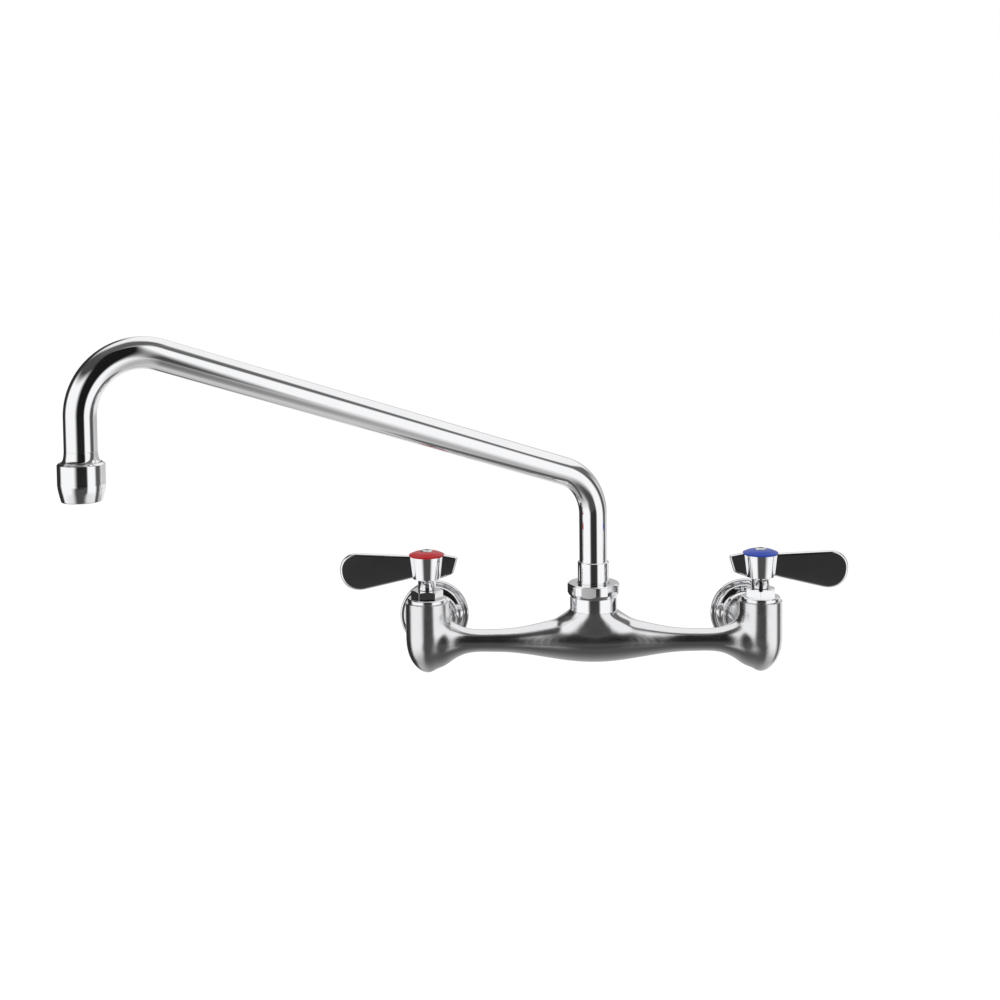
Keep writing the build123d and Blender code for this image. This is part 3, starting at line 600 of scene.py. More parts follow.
def tap_inlet(place):
    """Cuts a pipe thread's rings into an inlet, from the wall inwards."""
    profile = [(0, -INLET_DEPTH)]
    for ring in range(int(INLET_DEPTH / THREAD_PITCH)):
        depth = -INLET_DEPTH + ring * THREAD_PITCH
        profile += [(INLET_RADIUS - THREAD_DEPTH, depth),
                    (INLET_RADIUS, depth + THREAD_PITCH / 2)]
    profile += [(INLET_RADIUS, 1), (0, 1)]
    tap = turn_piece("tap", profile, 64)
    put(tap, place, tilt=-math.pi / 2)
    combine(cast_body, tap, "DIFFERENCE")


bore(SPOUT_AXIS, SOCKET_RADIUS, SOCKET_FLOOR, BOSS_SEAT + 1)
for axis in VALVE_AXES.values():
    bore(axis, CHAMBER_RADIUS, CHAMBER_FLOOR, BARREL_TOP + 1)
    tap_inlet((axis.x, 0, 0))
shade(cast_body, 40)
dress(cast_body, CAST_CHROME, "chrome_casting", "valve_body", "faucet_body")

# %% [markdown]
# Each shank meets the wall in a stepped flange. It is spun from thin brass in real life, with
# a bright rim, a dark groove inside it and a rounded crown that climbs to the shank. Here one
# turned profile has all of that.

# %% Wall flanges
FLANGE_RADIUS = 22.4
FLANGE_RIM = 3.24
FLANGE_RIM_ROUND = 1.0
FLANGE_DEPTH = 9.0
FLANGE_LIP_ROUND = 0.7
FIT = 0.05                # between pieces that stay together


def wall_flange(name, place):
    """One flange, turned about Z and tilted so that its back lies on the wall."""
    inner = SHANK_RADIUS + FIT
    lip_bottom = FLANGE_DEPTH - FLANGE_LIP_ROUND
    profile = [(inner, 0), (FLANGE_RADIUS, 0)]
    profile += arc((FLANGE_RADIUS - FLANGE_RIM_ROUND, FLANGE_RIM - FLANGE_RIM_ROUND),
                   FLANGE_RIM_ROUND, 0, 90, 6)
    profile += [(FLANGE_RADIUS - 2.4, FLANGE_RIM), (FLANGE_RADIUS - 3.0, FLANGE_RIM - 0.6)]
    profile += through([
        (FLANGE_RADIUS - 3.3, FLANGE_RIM + 0.4), (FLANGE_RADIUS - 3.9, FLANGE_RIM + 1.1),
        (FLANGE_RADIUS - 5.2, FLANGE_RIM + 1.6), (SHANK_RADIUS + 2.6, FLANGE_RIM + 2.2),
        (SHANK_RADIUS + 1.7, FLANGE_RIM + 3.2), (SHANK_RADIUS + 1.6, lip_bottom)], 4)
    profile += arc((SHANK_RADIUS + 0.9, lip_bottom), FLANGE_LIP_ROUND, 0, 90, 4)
    profile += [(inner, FLANGE_DEPTH), (inner, 0)]
    piece = turn_piece(name, profile)
    ease_edges(piece, 0.15)
    put(piece, place, tilt=math.pi / 2)
    return piece


for side, axis in VALVE_AXES.items():
    flange = wall_flange(side + "_spun_flange", (axis.x, 0, 0))
    dress(flange, TURNED_CHROME, "chrome_turned", "valve_body", side + "_wall_flange")

# %% [markdown]
# On each barrel sits a bonnet: a round ring with a hexagon for the wrench. The hexagon is
# turned first, with its corners already slanted, and six strokes of the milling cutter make
# the flats. That order gives the curved chamfer at each corner for nothing.

# %% Bonnets
RING_RADIUS = 11.9
RING_TOP = 27.6
HEX_TOP = 32.5
HEX_FLATS = 17.0
STEM_HOLE = 4.05
HEX_TURNS = {"hot": math.radians(34.0), "cold": math.radians(51.4)}


def mill_flats(piece, across, turn):
    """Mills six flats; the first faces the bearing turn."""
    for flat in range(6):
        bearing = turn + flat * math.pi / 3
        outwards = Vector((math.cos(bearing), math.sin(bearing), 0))
        slice_off(piece, outwards * across / 2 * MM, outwards)


def bonnet(name, turn, place):
    """Ring and hexagon with the stem's hole."""
    corner = HEX_FLATS / math.sqrt(3)
    hexagon = turn_piece("hexagon", [
        (STEM_HOLE, RING_TOP - 1), (corner, RING_TOP - 1), (corner, HEX_TOP - 0.7),
        (HEX_FLATS / 2 - 0.1, HEX_TOP), (STEM_HOLE, HEX_TOP), (STEM_HOLE, RING_TOP - 1)])
    mill_flats(hexagon, HEX_FLATS, turn)
    ease_edges(hexagon, 0.3, angle=40)
    piece = turn_piece(name, [
        (STEM_HOLE, BARREL_TOP), (RING_RADIUS - 0.5, BARREL_TOP),
        (RING_RADIUS, BARREL_TOP + 0.5), (RING_RADIUS, RING_TOP - 0.6),
        (RING_RADIUS - 0.6, RING_TOP), (STEM_HOLE, RING_TOP), (STEM_HOLE, BARREL_TOP)])
    ease_edges(piece, 0.15)
    combine(piece, hexagon, "UNION")
    shade(piece, 22)
    put(piece, place)
    return piece


for side, axis in VALVE_AXES.items():
    piece = bonnet(side + "_hex_bonnet", HEX_TURNS[side], axis)
    dress(piece, TURNED_CHROME, "chrome_turned", "valve_body", side + "_bonnet")

# %% [markdown]
# A lever's paddle and tail are flat plates with round ends. Each starts as a block. Its ends
# are moved to their real heights, and a wide bevel rounds each end corner and stays tangent to
# both sides, which points set by hand would miss.

# %% Plates with round corners
LEVER_THICKNESS = 4.0
CORNER_REACH = 1e-6       # metres


def round_corner(piece, corner, offset):
    """Rounds the edge that crosses a blade at one of its corners."""
    x, z = corner[0] * MM, corner[1] * MM

    def at_corner(edge):
        ends = [piece.data.vertices[index].co for index in edge.vertices]
        return all(math.hypot(end.x - x, end.z - z) < CORNER_REACH for end in ends)

    pick(piece, "EDGE", at_corner)
    bpy.ops.mesh.bevel(offset_type="OFFSET", offset=offset * MM, segments=16, affect="EDGES")
    bpy.ops.object.mode_set(mode="OBJECT")


def rounding_offset(corner, before, after, radius):
    """How far a bevel starts from a corner so that its round has the wanted radius."""
    to_before = Vector(before) - Vector(corner)
    to_after = Vector(after) - Vector(corner)
    return radius / math.tan(to_before.angle(to_after) / 2)


def blade(name, corners, offsets):
    """A plate from four corners (x, z), root top, tip top, tip bottom and root bottom."""
    bpy.ops.mesh.primitive_cube_add(size=1, location=(0, 0, 0))
    piece = bpy.context.object
    piece.name = name
    root_top, tip_top, tip_bottom, root_bottom = corners
    for vertex in piece.data.vertices:
        upper, lower = (tip_top, tip_bottom) if vertex.co.x > 0 else (root_top, root_bottom)
        x, z = upper if vertex.co.z > 0 else lower
        depth = math.copysign(LEVER_THICKNESS / 2 * MM, vertex.co.y)
        vertex.co = (x * MM, depth, z * MM)
    for corner, offset in zip((tip_top, tip_bottom), offsets):
        round_corner(piece, corner, offset)
    only(piece)
    bpy.ops.object.mode_set(mode="EDIT")
    close_up()
    return piece


# %% [markdown]
# A lever is one die casting: a neck, a hub that widens upwards, a long paddle and a short
# tail. The hub is turned, the plates are joined to it with their rims eased, and what would
# rise into the index is trimmed away.

# %% Levers
HANDLE_BOTTOM = 32.56
NECK_RADIUS = 5.5
NECK_TOP = 38.4
HUB_BOTTOM = 39.7
HUB_BOTTOM_RADIUS = 8.6
HUB_TOP = 53.3
HUB_TOP_RADIUS = 10.2
INDEX_CLEARANCE = 10.75   # what rises beyond the hub stops at the index's rim
TRIM_HEIGHT = 6.0
LEVER_REACH = 53.0
LEVER_ROOT_HEIGHT = 11.5
LEVER_TIP_HEIGHT = 26.4
LEVER_TIP_RISE = 2.4
TIP_TOP_ROUND = 10.0
TIP_BOTTOM_ROUND = 12.5
TAIL_CORNERS = [(-5, HUB_TOP + 1.9), (-19.2, HUB_TOP - 1.0), (-16.3, HUB_TOP - 11.1),
                (-5, HUB_TOP - 15.2)]
TAIL_ROUND = 1.5
RIM_ROUND = 1.5
LEVER_TURNS = {"hot": math.pi, "cold": 0}


def paddle_blank():
    """The long plate; its end is all round."""
    root_top = HUB_TOP - 0.1
    tip_top = HUB_TOP + LEVER_TIP_RISE
    corners = [(0, root_top), (LEVER_REACH, tip_top), (LEVER_REACH, tip_top - LEVER_TIP_HEIGHT),
               (0, root_top - LEVER_ROOT_HEIGHT)]
    return blade("paddle", corners, (
        rounding_offset(corners[1], corners[0], corners[2], TIP_TOP_ROUND),
        rounding_offset(corners[2], corners[1], corners[3], TIP_BOTTOM_ROUND)))


def lever(name, place, turn):
    """The whole lever, made along +X and turned to its bearing."""
    piece = turn_piece(name, [
        (0, HANDLE_BOTTOM), (NECK_RADIUS - 0.4, HANDLE_BOTTOM),
        (NECK_RADIUS, HANDLE_BOTTOM + 0.4), (NECK_RADIUS, NECK_TOP),
        (HUB_BOTTOM_RADIUS, HUB_BOTTOM), (HUB_TOP_RADIUS, HUB_TOP), (0, HUB_TOP)])
    for wing in (paddle_blank(), blade("tail", TAIL_CORNERS, (TAIL_ROUND, TAIL_ROUND))):
        ease_edges(wing, RIM_ROUND, angle=40, segments=4)
        combine(piece, wing, "UNION")
    trim_top = HUB_TOP + TRIM_HEIGHT
    trim = turn_piece("trim", [(0, HUB_TOP), (INDEX_CLEARANCE, HUB_TOP),
                               (INDEX_CLEARANCE, trim_top), (0, trim_top)])
    combine(piece, trim, "DIFFERENCE")
    shade(piece, 30)
    put(piece, place, turn=turn)
    return piece


for side, axis in VALVE_AXES.items():
    piece = lever(side + "_lever_handle", axis, LEVER_TURNS[side])
    dress(piece, LEVER_CHROME, "chrome_handle", side + "_lever", side + "_handle")

# %% [markdown]
# The index is a domed moulding, red for hot and blue for cold, held by a screw with a low
# round head. The screw's cross is cut with two flat bars and stands a little askew, as a
# screwdriver leaves it.

# %% Indexes and screws
INDEX_RADIUS = 10.7
INDEX_RIM = 0.9
INDEX_CROWN = 3.0
INDEX_BULGE = 0.5         # how far the dome stands over a straight cone
SCREW_HEAD_RADIUS = 3.7
SCREW_SEAT = HUB_TOP + INDEX_CROWN - 0.7
SCREW_TOP = SCREW_SEAT + 1.6
SCREW_TURN = math.radians(20)
CROSS_WIDTH = 0.9
CROSS_DEPTH = 0.9


def index(name, place):
    """The coloured dome with the recess for its screw."""
    rim_top = HUB_TOP + INDEX_RIM
    crown_top = HUB_TOP + INDEX_CROWN
    recess = SCREW_HEAD_RADIUS + FIT
    middle = ((INDEX_RADIUS + recess) / 2, (rim_top + crown_top) / 2 + INDEX_BULGE)
    profile = [(recess, HUB_TOP), (INDEX_RADIUS - 0.2, HUB_TOP), (INDEX_RADIUS, HUB_TOP + 0.2)]
    profile += through([(INDEX_RADIUS, rim_top), (INDEX_RADIUS - 0.35, rim_top + 0.3), middle,
                        (recess, crown_top)], 8)
    profile += [(recess, HUB_TOP)]
    piece = turn_piece(name, profile)
    shade(piece)
    put(piece, place)
    return piece


def screw(name, place):
    """A low round head with a cross slot."""
    profile = [(0, SCREW_SEAT), (SCREW_HEAD_RADIUS, SCREW_SEAT)]
    profile += through([
        (SCREW_HEAD_RADIUS, SCREW_TOP - 0.9), (SCREW_HEAD_RADIUS - 0.4, SCREW_TOP - 0.45),
        (SCREW_HEAD_RADIUS * 0.7, SCREW_TOP - 0.2), (0, SCREW_TOP)], 6)
    piece = turn_piece(name, profile, 64)
    for turn in (0, math.pi / 2):
        bpy.ops.mesh.primitive_cube_add(size=1, location=(0, 0, SCREW_TOP * MM))
        bar = bpy.context.object
        bar.scale = (1.2 * SCREW_HEAD_RADIUS * MM, CROSS_WIDTH * MM, 2 * CROSS_DEPTH * MM)
        bpy.ops.object.transform_apply()
        put(bar, (0, 0, 0), turn=turn)
        combine(piece, bar, "DIFFERENCE")
    ease_edges(piece, 0.08, angle=40, segments=2)
    put(piece, place, turn=SCREW_TURN)
    return piece


for side, finish, slot in (("hot", RED, "red_index"), ("cold", BLUE, "blue_index")):
    axis = VALVE_AXES[side]
    body = side + "_lever"
    dress(index(side + "_index_dome", axis), finish, slot, body, side + "_index")
    dress(screw(side + "_index_screw", axis), STEEL, "bright_screw", body,
          side + "_handle_screw")

# %% [markdown]
# The swivel nut holds the spout down on its boss. It has a round skirt below and six flats
# above, turned and milled like the bonnets. Out of it rises the sleeve that the riser is
# brazed into.

# %% Swivel nut and sleeve
NUT_RADIUS = 15.8
NUT_FLATS = 30.4
NUT_TURN = math.radians(16.8)
SKIRT_RADIUS = 14.4
SKIRT_TOP = 28.3
SHOULDER_SLOPE = 1.7      # rise of the shoulder for each millimetre outwards
NUT_TOP = 36.5
NUT_CHAMFER = 0.8
NUT_HOLE = 9.86
SLEEVE_RADIUS = 9.56
SLEEVE_BOTTOM = 33.5
SLEEVE_TOP = 49.6
TUBE_RADIUS = 8.5


def swivel_nut(name, place):
    """Skirt, slanted shoulder and six flats."""
    shoulder_top = SKIRT_TOP + SHOULDER_SLOPE * (NUT_RADIUS - SKIRT_RADIUS)
    piece = turn_piece(name, [
        (NUT_HOLE, BOSS_SEAT), (SKIRT_RADIUS, BOSS_SEAT), (SKIRT_RADIUS, SKIRT_TOP),
        (NUT_RADIUS, shoulder_top), (NUT_RADIUS, NUT_TOP - NUT_CHAMFER),
        (NUT_RADIUS - NUT_CHAMFER, NUT_TOP), (NUT_HOLE, NUT_TOP), (NUT_HOLE, BOSS_SEAT)])
    mill_flats(piece, NUT_FLATS, NUT_TURN)
    ease_edges(piece, 0.2, angle=15)
    put(piece, place)
    return piece


def sleeve(name, place):
    """The turned sleeve that the riser is brazed into."""
    inner = TUBE_RADIUS + FIT
    piece = turn_piece(name, [
        (inner, SLEEVE_BOTTOM), (SLEEVE_RADIUS, SLEEVE_BOTTOM), (SLEEVE_RADIUS, SLEEVE_TOP - 0.5),
        (SLEEVE_RADIUS - 0.5, SLEEVE_TOP), (inner, SLEEVE_TOP), (inner, SLEEVE_BOTTOM)])
    ease_edges(piece, 0.12)
    put(piece, place)
    return piece


dress(swivel_nut("swivel_nut", SPOUT_AXIS), TURNED_CHROME, "chrome_turned", "valve_body",
      "spout_nut")
dress(sleeve("riser_sleeve", SPOUT_AXIS), TURNED_CHROME, "chrome_turned", "spout",
      "spout_shank")

# %% [markdown]
# The spout is one drawn tube with two bends. A curve with a round bevel bunches its rings up
# in the bends, so it is made as a bender makes it: a ring is extruded along the straight runs
# and spun round the bend's centre in between.

# %% Spout tube
SPOUT_REACH = 304.8
SPOUT_BEARING = math.radians(28.0)
RISER_CORNER = 99.6       # height where the riser's axis meets the arm's
DROP_CORNER = 200.9       # height where the arm's axis meets the drop's
RISER_BEND = 29.5
DROP_BEND = 32.0
BEND_STEP = 2.0           # degrees
TUBE_BOTTOM = 38.0
TUBE_END = 139.0
TUBE_WALL = 1.2


def bend_about(centre, angle):
    """Spins the selected ring round a bend."""
    steps = int(math.degrees(angle) / BEND_STEP)
    bpy.ops.mesh.spin(steps=steps, angle=angle, center=Vector(centre) * MM, axis=(0, 1, 0))


def bent_tube(name, place, turn):
    """Riser, rising arm and drop, made with the arm along -X."""
    climb = math.atan2(DROP_CORNER - RISER_CORNER, SPOUT_REACH)
    along = Vector((-math.cos(climb), 0, math.sin(climb)))
    inwards = Vector((-math.sin(climb), 0, -math.cos(climb)))
    first_turn = math.pi / 2 - climb
    second_turn = math.pi / 2 + climb
    first_setback = RISER_BEND * math.tan(first_turn / 2)
    second_setback = DROP_BEND * math.tan(second_turn / 2)
    riser_end = RISER_CORNER - first_setback
    arm_start = Vector((0, 0, RISER_CORNER)) + first_setback * along
    arm_end = Vector((-SPOUT_REACH, 0, DROP_CORNER)) - second_setback * along
    piece = first_ring(name, TUBE_RADIUS, TUBE_BOTTOM)
    extrude((0, 0, riser_end - TUBE_BOTTOM))
    bend_about((-RISER_BEND, 0, riser_end), first_turn)
    extrude(arm_end - arm_start)
    bend_about(arm_end + DROP_BEND * inwards, second_turn)
    extrude((0, 0, TUBE_END - (DROP_CORNER - second_setback)))
    close_up()
    modify(piece, "SOLIDIFY", thickness=TUBE_WALL * MM, offset=-1)
    shade(piece, 50)
    put(piece, place, turn=turn)
    return piece


tube = bent_tube("bent_tube", SPOUT_AXIS, SPOUT_BEARING)
dress(tube, TUBE_CHROME, "chrome_tube", "spout", "spout_tube")

# %% [markdown]
# At the outlet the tube ends in a flared adapter, and the aerator screws on it: a smooth cap
# that keeps its width for the upper half and draws in towards its mouth.

# %% Outlet
outlet_offset = Matrix.Rotation(SPOUT_BEARING, 3, "Z") @ Vector((-SPOUT_REACH * MM, 0, 0))
OUTLET_AXIS = SPOUT_AXIS + outlet_offset
FLARE_RADIUS = 10.0
FLARE_BOTTOM = 133.4
ADAPTER_BOTTOM = 126.0
ADAPTER_BORE = 6.2
AERATOR_RADIUS = 12.2
AERATOR_TOP = 133.3
AERATOR_BOTTOM = 113.0
THREAD_RADIUS = 10.45
TAPER_HEIGHT = 9.0
MOUTH_RADIUS = 10.5
LIP_RADIUS = 8.4
LIP_HEIGHT = 1.8
INSERT_RADIUS = 9.55


def adapter(name, place):
    """The flare between the tube and the aerator."""
    flare = through([(FLARE_RADIUS, FLARE_BOTTOM), (FLARE_RADIUS - 0.8, FLARE_BOTTOM + 1.3),
                     (TUBE_RADIUS + 0.25, FLARE_BOTTOM + 3.2), (TUBE_RADIUS, TUBE_END)], 5)
    piece = turn_piece(name, [
        (ADAPTER_BORE, ADAPTER_BOTTOM), (FLARE_RADIUS - 0.2, ADAPTER_BOTTOM), *flare,
        (TUBE_RADIUS - TUBE_WALL, TUBE_END), (ADAPTER_BORE, TUBE_END),
        (ADAPTER_BORE, ADAPTER_BOTTOM)])
    ease_edges(piece, 0.1)
    put(piece, place)
    return piece


def aerator(name, place):
    """The aerator's cap, open below, with its lip turned in under the insert."""
    taper_top = AERATOR_BOTTOM + TAPER_HEIGHT
    lip_top = AERATOR_BOTTOM + LIP_HEIGHT
    profile = [(LIP_RADIUS, AERATOR_BOTTOM)]
    profile += arc((MOUTH_RADIUS - 0.5, AERATOR_BOTTOM + 0.5), 0.5, -90, -20, 4)
    profile += through([
        (MOUTH_RADIUS + 0.1, AERATOR_BOTTOM + 0.9), (11.7, AERATOR_BOTTOM + 0.6 * TAPER_HEIGHT),
        (AERATOR_RADIUS - 0.02, taper_top - 0.4), (AERATOR_RADIUS, taper_top + 1)], 6)
    profile += [
        (AERATOR_RADIUS, AERATOR_TOP - 1.0), (AERATOR_RADIUS - 1.2, AERATOR_TOP),
        (THREAD_RADIUS, AERATOR_TOP), (THREAD_RADIUS, AERATOR_TOP - 8),
        (INSERT_RADIUS, AERATOR_TOP - 8.4), (INSERT_RADIUS, lip_top), (LIP_RADIUS, lip_top),
        (LIP_RADIUS, AERATOR_BOTTOM)]
    piece = turn_piece(name, profile, 128)
    ease_edges(piece, 0.15)
    put(piece, place)
    return piece


dress(adapter("outlet_flare", OUTLET_AXIS), TURNED_CHROME, "chrome_turned", "spout",
      "outlet_adapter")
dress(aerator("aerator_cap", OUTLET_AXIS), TURNED_CHROME, "chrome_turned", "spout",
      "aerator_housing")

# %% [markdown]
# Chrome is only as good as what it mirrors. A photographer sets a faucet in a white tent and
# looks in through a dark opening, so every upright cylinder gets a dark stripe with white on
# both sides. The tent could be built from dozens of cards, but a mirror only asks one thing of
# it: how bright is it in this direction? So the world answers that, from the bearing and the
# elevation of each mirrored ray.

# %% Nodes that the tent is made of
def blend(tree, share, low, high):
    """Mixes two values."""
    return add(tree, "Mix", {"Factor": share, "A": low, "B": high})["Result"]


def strip(tree, value, start, end, softness):
    """Is 1 from start to end and fades to 0 on both sides."""
    rise = between(tree, value, start - softness, start + softness)
    fall = between(tree, value, end - softness, end + softness, 1, 0)
    return calculate(tree, "MULTIPLY", rise, fall)


def wall_of_tent(tree, elevation, levels):
    """A ramp over the elevation from pairs of degrees and brightness."""
    node = tree.nodes.new("ShaderNodeValToRGB")
    node.color_ramp.interpolation = "EASE"
    stops = node.color_ramp.elements
    while len(stops) < len(levels):
        stops.new(0.5)
    for stop, (degrees, level) in zip(stops, levels):
        stop.position = (degrees + 90) / 180
        stop.color = (level, level, level, 1)
    share = calculate(tree, "DIVIDE", calculate(tree, "ADD", elevation, 90.0), 180.0)
    fill(tree, node, {"Fac": share})
    return node.outputs["Color"]


# %% [markdown]
# Three ramps say how bright the tent's front, sides and back are from the floor to the roof.
# Four dark strips lie over them: a seam at each side, a fold over the right one and a flap of
# the roof on the left. The right seam and its fold lean, because the cloth hangs askew.

# %% The tent
FRONT_WALL = [(-90, 0.60), (-75, 0.30), (-60, 0.13), (-45, 0.08), (-24, 0.05), (-16, 1.0),
              (50, 1.0), (62, 0.12)]
SIDE_WALL = [(-90, 0.60), (-75, 0.50), (-60, 0.45), (-48, 0.52), (-35, 0.80), (-25, 1.0),
             (40, 1.0), (60, 0.12)]
BACK_WALL = [(-90, 0.60), (-60, 0.55), (-30, 0.88), (-14, 0.85), (-5, 0.50), (13, 0.50),
             (26, 0.95), (70, 0.85), (90, 0.15)]
FRONT_BEARING = 6.0       # degrees to the right of the camera
LEAN = 0.45               # degrees of bearing for each degree of elevation

world = bpy.data.worlds.new("white tent")
bpy.context.scene.world = world
world.use_nodes = True
tent = world.node_tree
direction = add(tent, "SeparateXYZ", {0: add(tent, "TexCoord")["Generated"]})
towards_camera = calculate(tent, "MULTIPLY", direction["Y"], -1.0)
bearing_in_radians = calculate(tent, "ARCTAN2", direction["X"], towards_camera)
bearing = calculate(tent, "DEGREES", bearing_in_radians)
elevation = calculate(tent, "DEGREES", calculate(tent, "ARCSINE", direction["Z"]))
leaning = calculate(tent, "ADD", bearing, calculate(tent, "MULTIPLY", elevation, LEAN))
aside = calculate(tent, "ABSOLUTE", calculate(tent, "SUBTRACT", bearing, FRONT_BEARING))

front = wall_of_tent(tent, elevation, FRONT_WALL)
side = wall_of_tent(tent, elevation, SIDE_WALL)
back = wall_of_tent(tent, elevation, BACK_WALL)
level = blend(tent, between(tent, aside, 12, 48), front, side)
level = blend(tent, between(tent, aside, 90, 130), level, back)

for across, width, height, tone in (      # bearings, elevations, each with its softness
        (bearing, (-161, -97, 8), (-52, 45, 7), 0.03),      # left seam
        (leaning, (82, 113, 7), (-45, 55, 7), 0.10),        # right seam
        (leaning, (84, 140, 7), (16, 52, 7), 0.14),         # fold
        (bearing, (-112, 5, 12), (32, 62, 8), 0.07)):       # flap
    cover = calculate(tent, "MULTIPLY", strip(tent, across, *width),
                      strip(tent, elevation, *height))
    level = blend(tent, cover, level, tone)

# %% [markdown]
# Only mirrors see the tent. Other surfaces get an even soft light from it, and the camera sees
# plain white, so the background is white without any more light on the object.

# %% What each kind of ray sees
SOFT_LIGHT = 0.85


def rays_of(tree, *kinds):
    """A value that is 1 for the named kinds of ray."""
    path = add(tree, "LightPath")
    total = path[kinds[0]]
    for kind in kinds[1:]:
        total = calculate(tree, "MAXIMUM", total, path[kind])
    return total


def choose(tree, kinds, others, chosen):
    """Shows one shader to the named kinds of ray and another one to all others."""
    return add(tree, "MixShader", {0: rays_of(tree, *kinds), 1: others, 2: chosen})[0]


def white_light(strength):
    """The shader of an even white world."""
    return add(tent, "Background", {"Color": (1, 1, 1, 1), "Strength": strength})[0]


mirrored = tent.nodes["Background"]
fill(tent, mirrored, {"Color": level})
lit = choose(tent, ("Is Glossy Ray", "Is Transmission Ray"), white_light(SOFT_LIGHT),
             mirrored.outputs[0])
seen = choose(tent, ("Is Camera Ray",), lit, white_light(1.0))
fill(tent, tent.nodes["World Output"], {"Surface": seen})
print("tent of", len(tent.nodes), "nodes")

# %% [markdown]
# Three things are too near to be a direction, so they are cards. The dark opening round the
# camera stands a metre in front, and the spout's far end sees it further to the right than the
# body does. A white roof panel hangs low over the body. A grey card just under the bar is
# painted shade under the body, seen only in mirrors, and darkens the lower half of its section.

# %% Cards that only mirrors see
def card(name, place, size, upright, glow):
    """A card with its own brightness; glow makes its cover and level from its coordinates."""
    turn = math.pi / 2 if upright else 0
    bpy.ops.mesh.primitive_plane_add(size=1, location=place, rotation=(turn, 0, 0))
    piece = bpy.context.object
    piece.name = name
    piece.scale = (size[0], size[1], 1)
    bpy.ops.object.transform_apply()
    material, tree, place_on_card = new_material(name)
    tree.nodes.remove(tree.nodes["Principled BSDF"])
    axes = add(tree, "SeparateXYZ", {0: place_on_card})
    cover, brightness = glow(tree, axes)
    light = add(tree, "Emission", {"Strength": brightness})[0]
    clear = add(tree, "BsdfTransparent")[0]
    mix = add(tree, "MixShader", {0: cover, 1: clear, 2: light})[0]
    fill(tree, tree.nodes["Material Output"], {"Surface": mix})
    piece.data.materials.append(material)
    piece.visible_camera = False
    piece.visible_diffuse = False
    piece.visible_shadow = False
    piece.visible_transmission = False


def opening_glow(tree, axes):
    """Dark in the middle; its left edge is soft and its right one sharper."""
    rise = between(tree, axes["X"], -0.60, -0.27)
    fall = between(tree, axes["X"], 0.38, 0.66, 1, 0)
    cover = calculate(tree, "MULTIPLY", rise, fall)
    cover = calculate(tree, "MULTIPLY", cover, strip(tree, axes["Z"], -0.55, 1.5, 0.12))
    low_edge = between(tree, axes["Z"], -0.26, -0.16, 0.045, 0.0)
    upper = between(tree, axes["Z"], -0.1, 0.1, 0.03, 0.01)
    return cover, calculate(tree, "ADD", low_edge, upper)


def panel_glow(tree, axes):
    """White, with soft edges."""
    along = strip(tree, axes["X"], -0.33, 0.42, 0.05)
    return calculate(tree, "MULTIPLY", along, strip(tree, axes["Y"], -0.16, 0.4, 0.03)), 0.95


def painted_shade_glow(tree, axes):
    """Painted shade under the body: grey in front and lighter towards the wall, with soft ends."""
    along = strip(tree, axes["X"], -0.11, 0.11, 0.02)
    cover = calculate(tree, "MULTIPLY", along, strip(tree, axes["Y"], -0.13, -0.015, 0.02))
    return cover, between(tree, axes["Y"], -0.11, -0.03, 0.09, 0.45)


card("opening_card", (0, -1.0, 0.5), (2.0, 3.0), True, opening_glow)
card("roof_card", (0, 0.1, 0.40), (1.2, 0.8), False, panel_glow)
# painted shade: a grey card under the bar that only mirrors see
card("painted_shade_card", (0, -0.08, -0.045), (0.4, 0.24), False, painted_shade_glow)

# %% [markdown]
# The floor is pale and keeps the object's soft shadow. What the camera sees of it glows a
# little, so that it meets the white background without a line. Mirrors skip it, because the
# tent's ramps already say what lies below.

# %% Floor and lamp
FLOOR_HEIGHT = -0.32
FLOOR_LIFT = 0.68         # a glow that only the camera sees
LAMP_POWER = 6.0

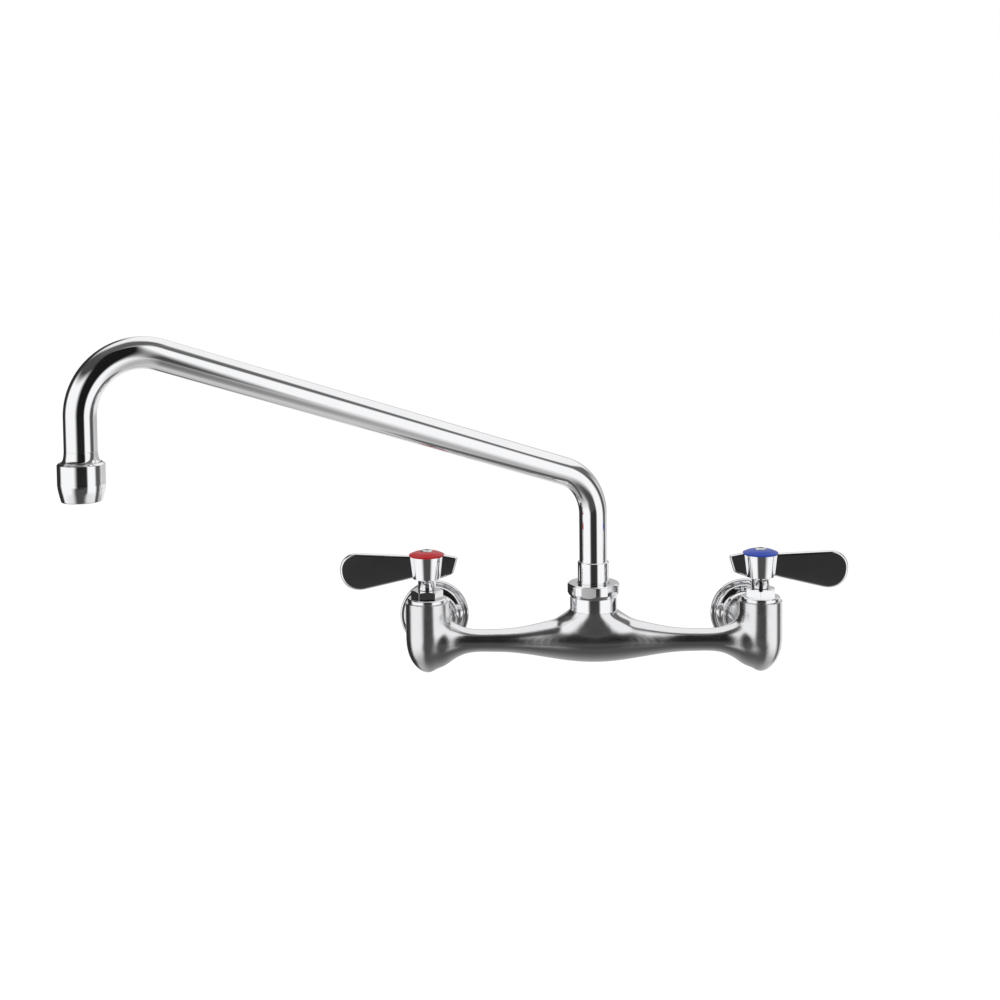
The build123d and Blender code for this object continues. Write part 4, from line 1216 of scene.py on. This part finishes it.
floor_material, tree, place = new_material("pale floor")
shader = tree.nodes["Principled BSDF"]
fill(tree, shader, {
    "Base Color": (0.93, 0.93, 0.93, 1), "Roughness": 0.9, "Specular IOR Level": 0.0})
shadowed = add(tree, "BsdfDiffuse", {"Color": (0.4, 0.4, 0.4, 1)})[0]
lift = add(tree, "Emission", {"Strength": FLOOR_LIFT})[0]
lifted = add(tree, "AddShader", {0: shadowed, 1: lift})[0]
floor_seen = choose(tree, ("Is Camera Ray",), shader.outputs[0], lifted)
fill(tree, tree.nodes["Material Output"], {"Surface": floor_seen})
bpy.ops.mesh.primitive_plane_add(size=30, location=(0, 0, FLOOR_HEIGHT))
floor = bpy.context.object
floor.name = "floor"
bpy.ops.object.transform_apply()
floor.data.materials.append(floor_material)
floor.visible_glossy = False

bpy.ops.object.light_add(type="AREA", location=(0, -0.4, 1.5))
lamp = bpy.context.object
lamp.data.size = 2.0
lamp.data.energy = LAMP_POWER
lamp.visible_glossy = False
print("floor at", FLOOR_HEIGHT, "m, lamp of", LAMP_POWER, "W")

# %% [markdown]
# The camera stands a little left of the spout, slightly above it, about a metre away. Its
# place and lens were solved from the object's own known points in the photograph. The
# photograph is a crop from a wider frame, so the lens is shifted down a little.

# %% Camera
CAMERA_PLACE = Vector((-0.0368, -0.9884, 0.2463))
LENS = 54.83
SENSOR = 36.0
YAW = -0.0186
PITCH = -0.06
ROLL = -0.0100
SHIFT = (-0.0025, -0.1703)

forward = Vector((math.sin(YAW) * math.cos(PITCH), math.cos(YAW) * math.cos(PITCH),
                  math.sin(PITCH)))
level_right = Vector((math.cos(YAW), -math.sin(YAW), 0))
level_up = level_right.cross(forward)
right = math.cos(ROLL) * level_right + math.sin(ROLL) * level_up
up = math.cos(ROLL) * level_up - math.sin(ROLL) * level_right
turned = Matrix((right, up, -forward)).transposed().to_4x4()
bpy.ops.object.camera_add()
camera = bpy.context.object
camera.matrix_world = Matrix.Translation(CAMERA_PLACE) @ turned
camera.data.lens = LENS
camera.data.sensor_width = SENSOR
camera.data.shift_x, camera.data.shift_y = SHIFT
bpy.context.scene.camera = camera
bpy.context.scene.view_settings.view_transform = "Standard"
print("camera at", CAMERA_PLACE, "with a", LENS, "mm lens")
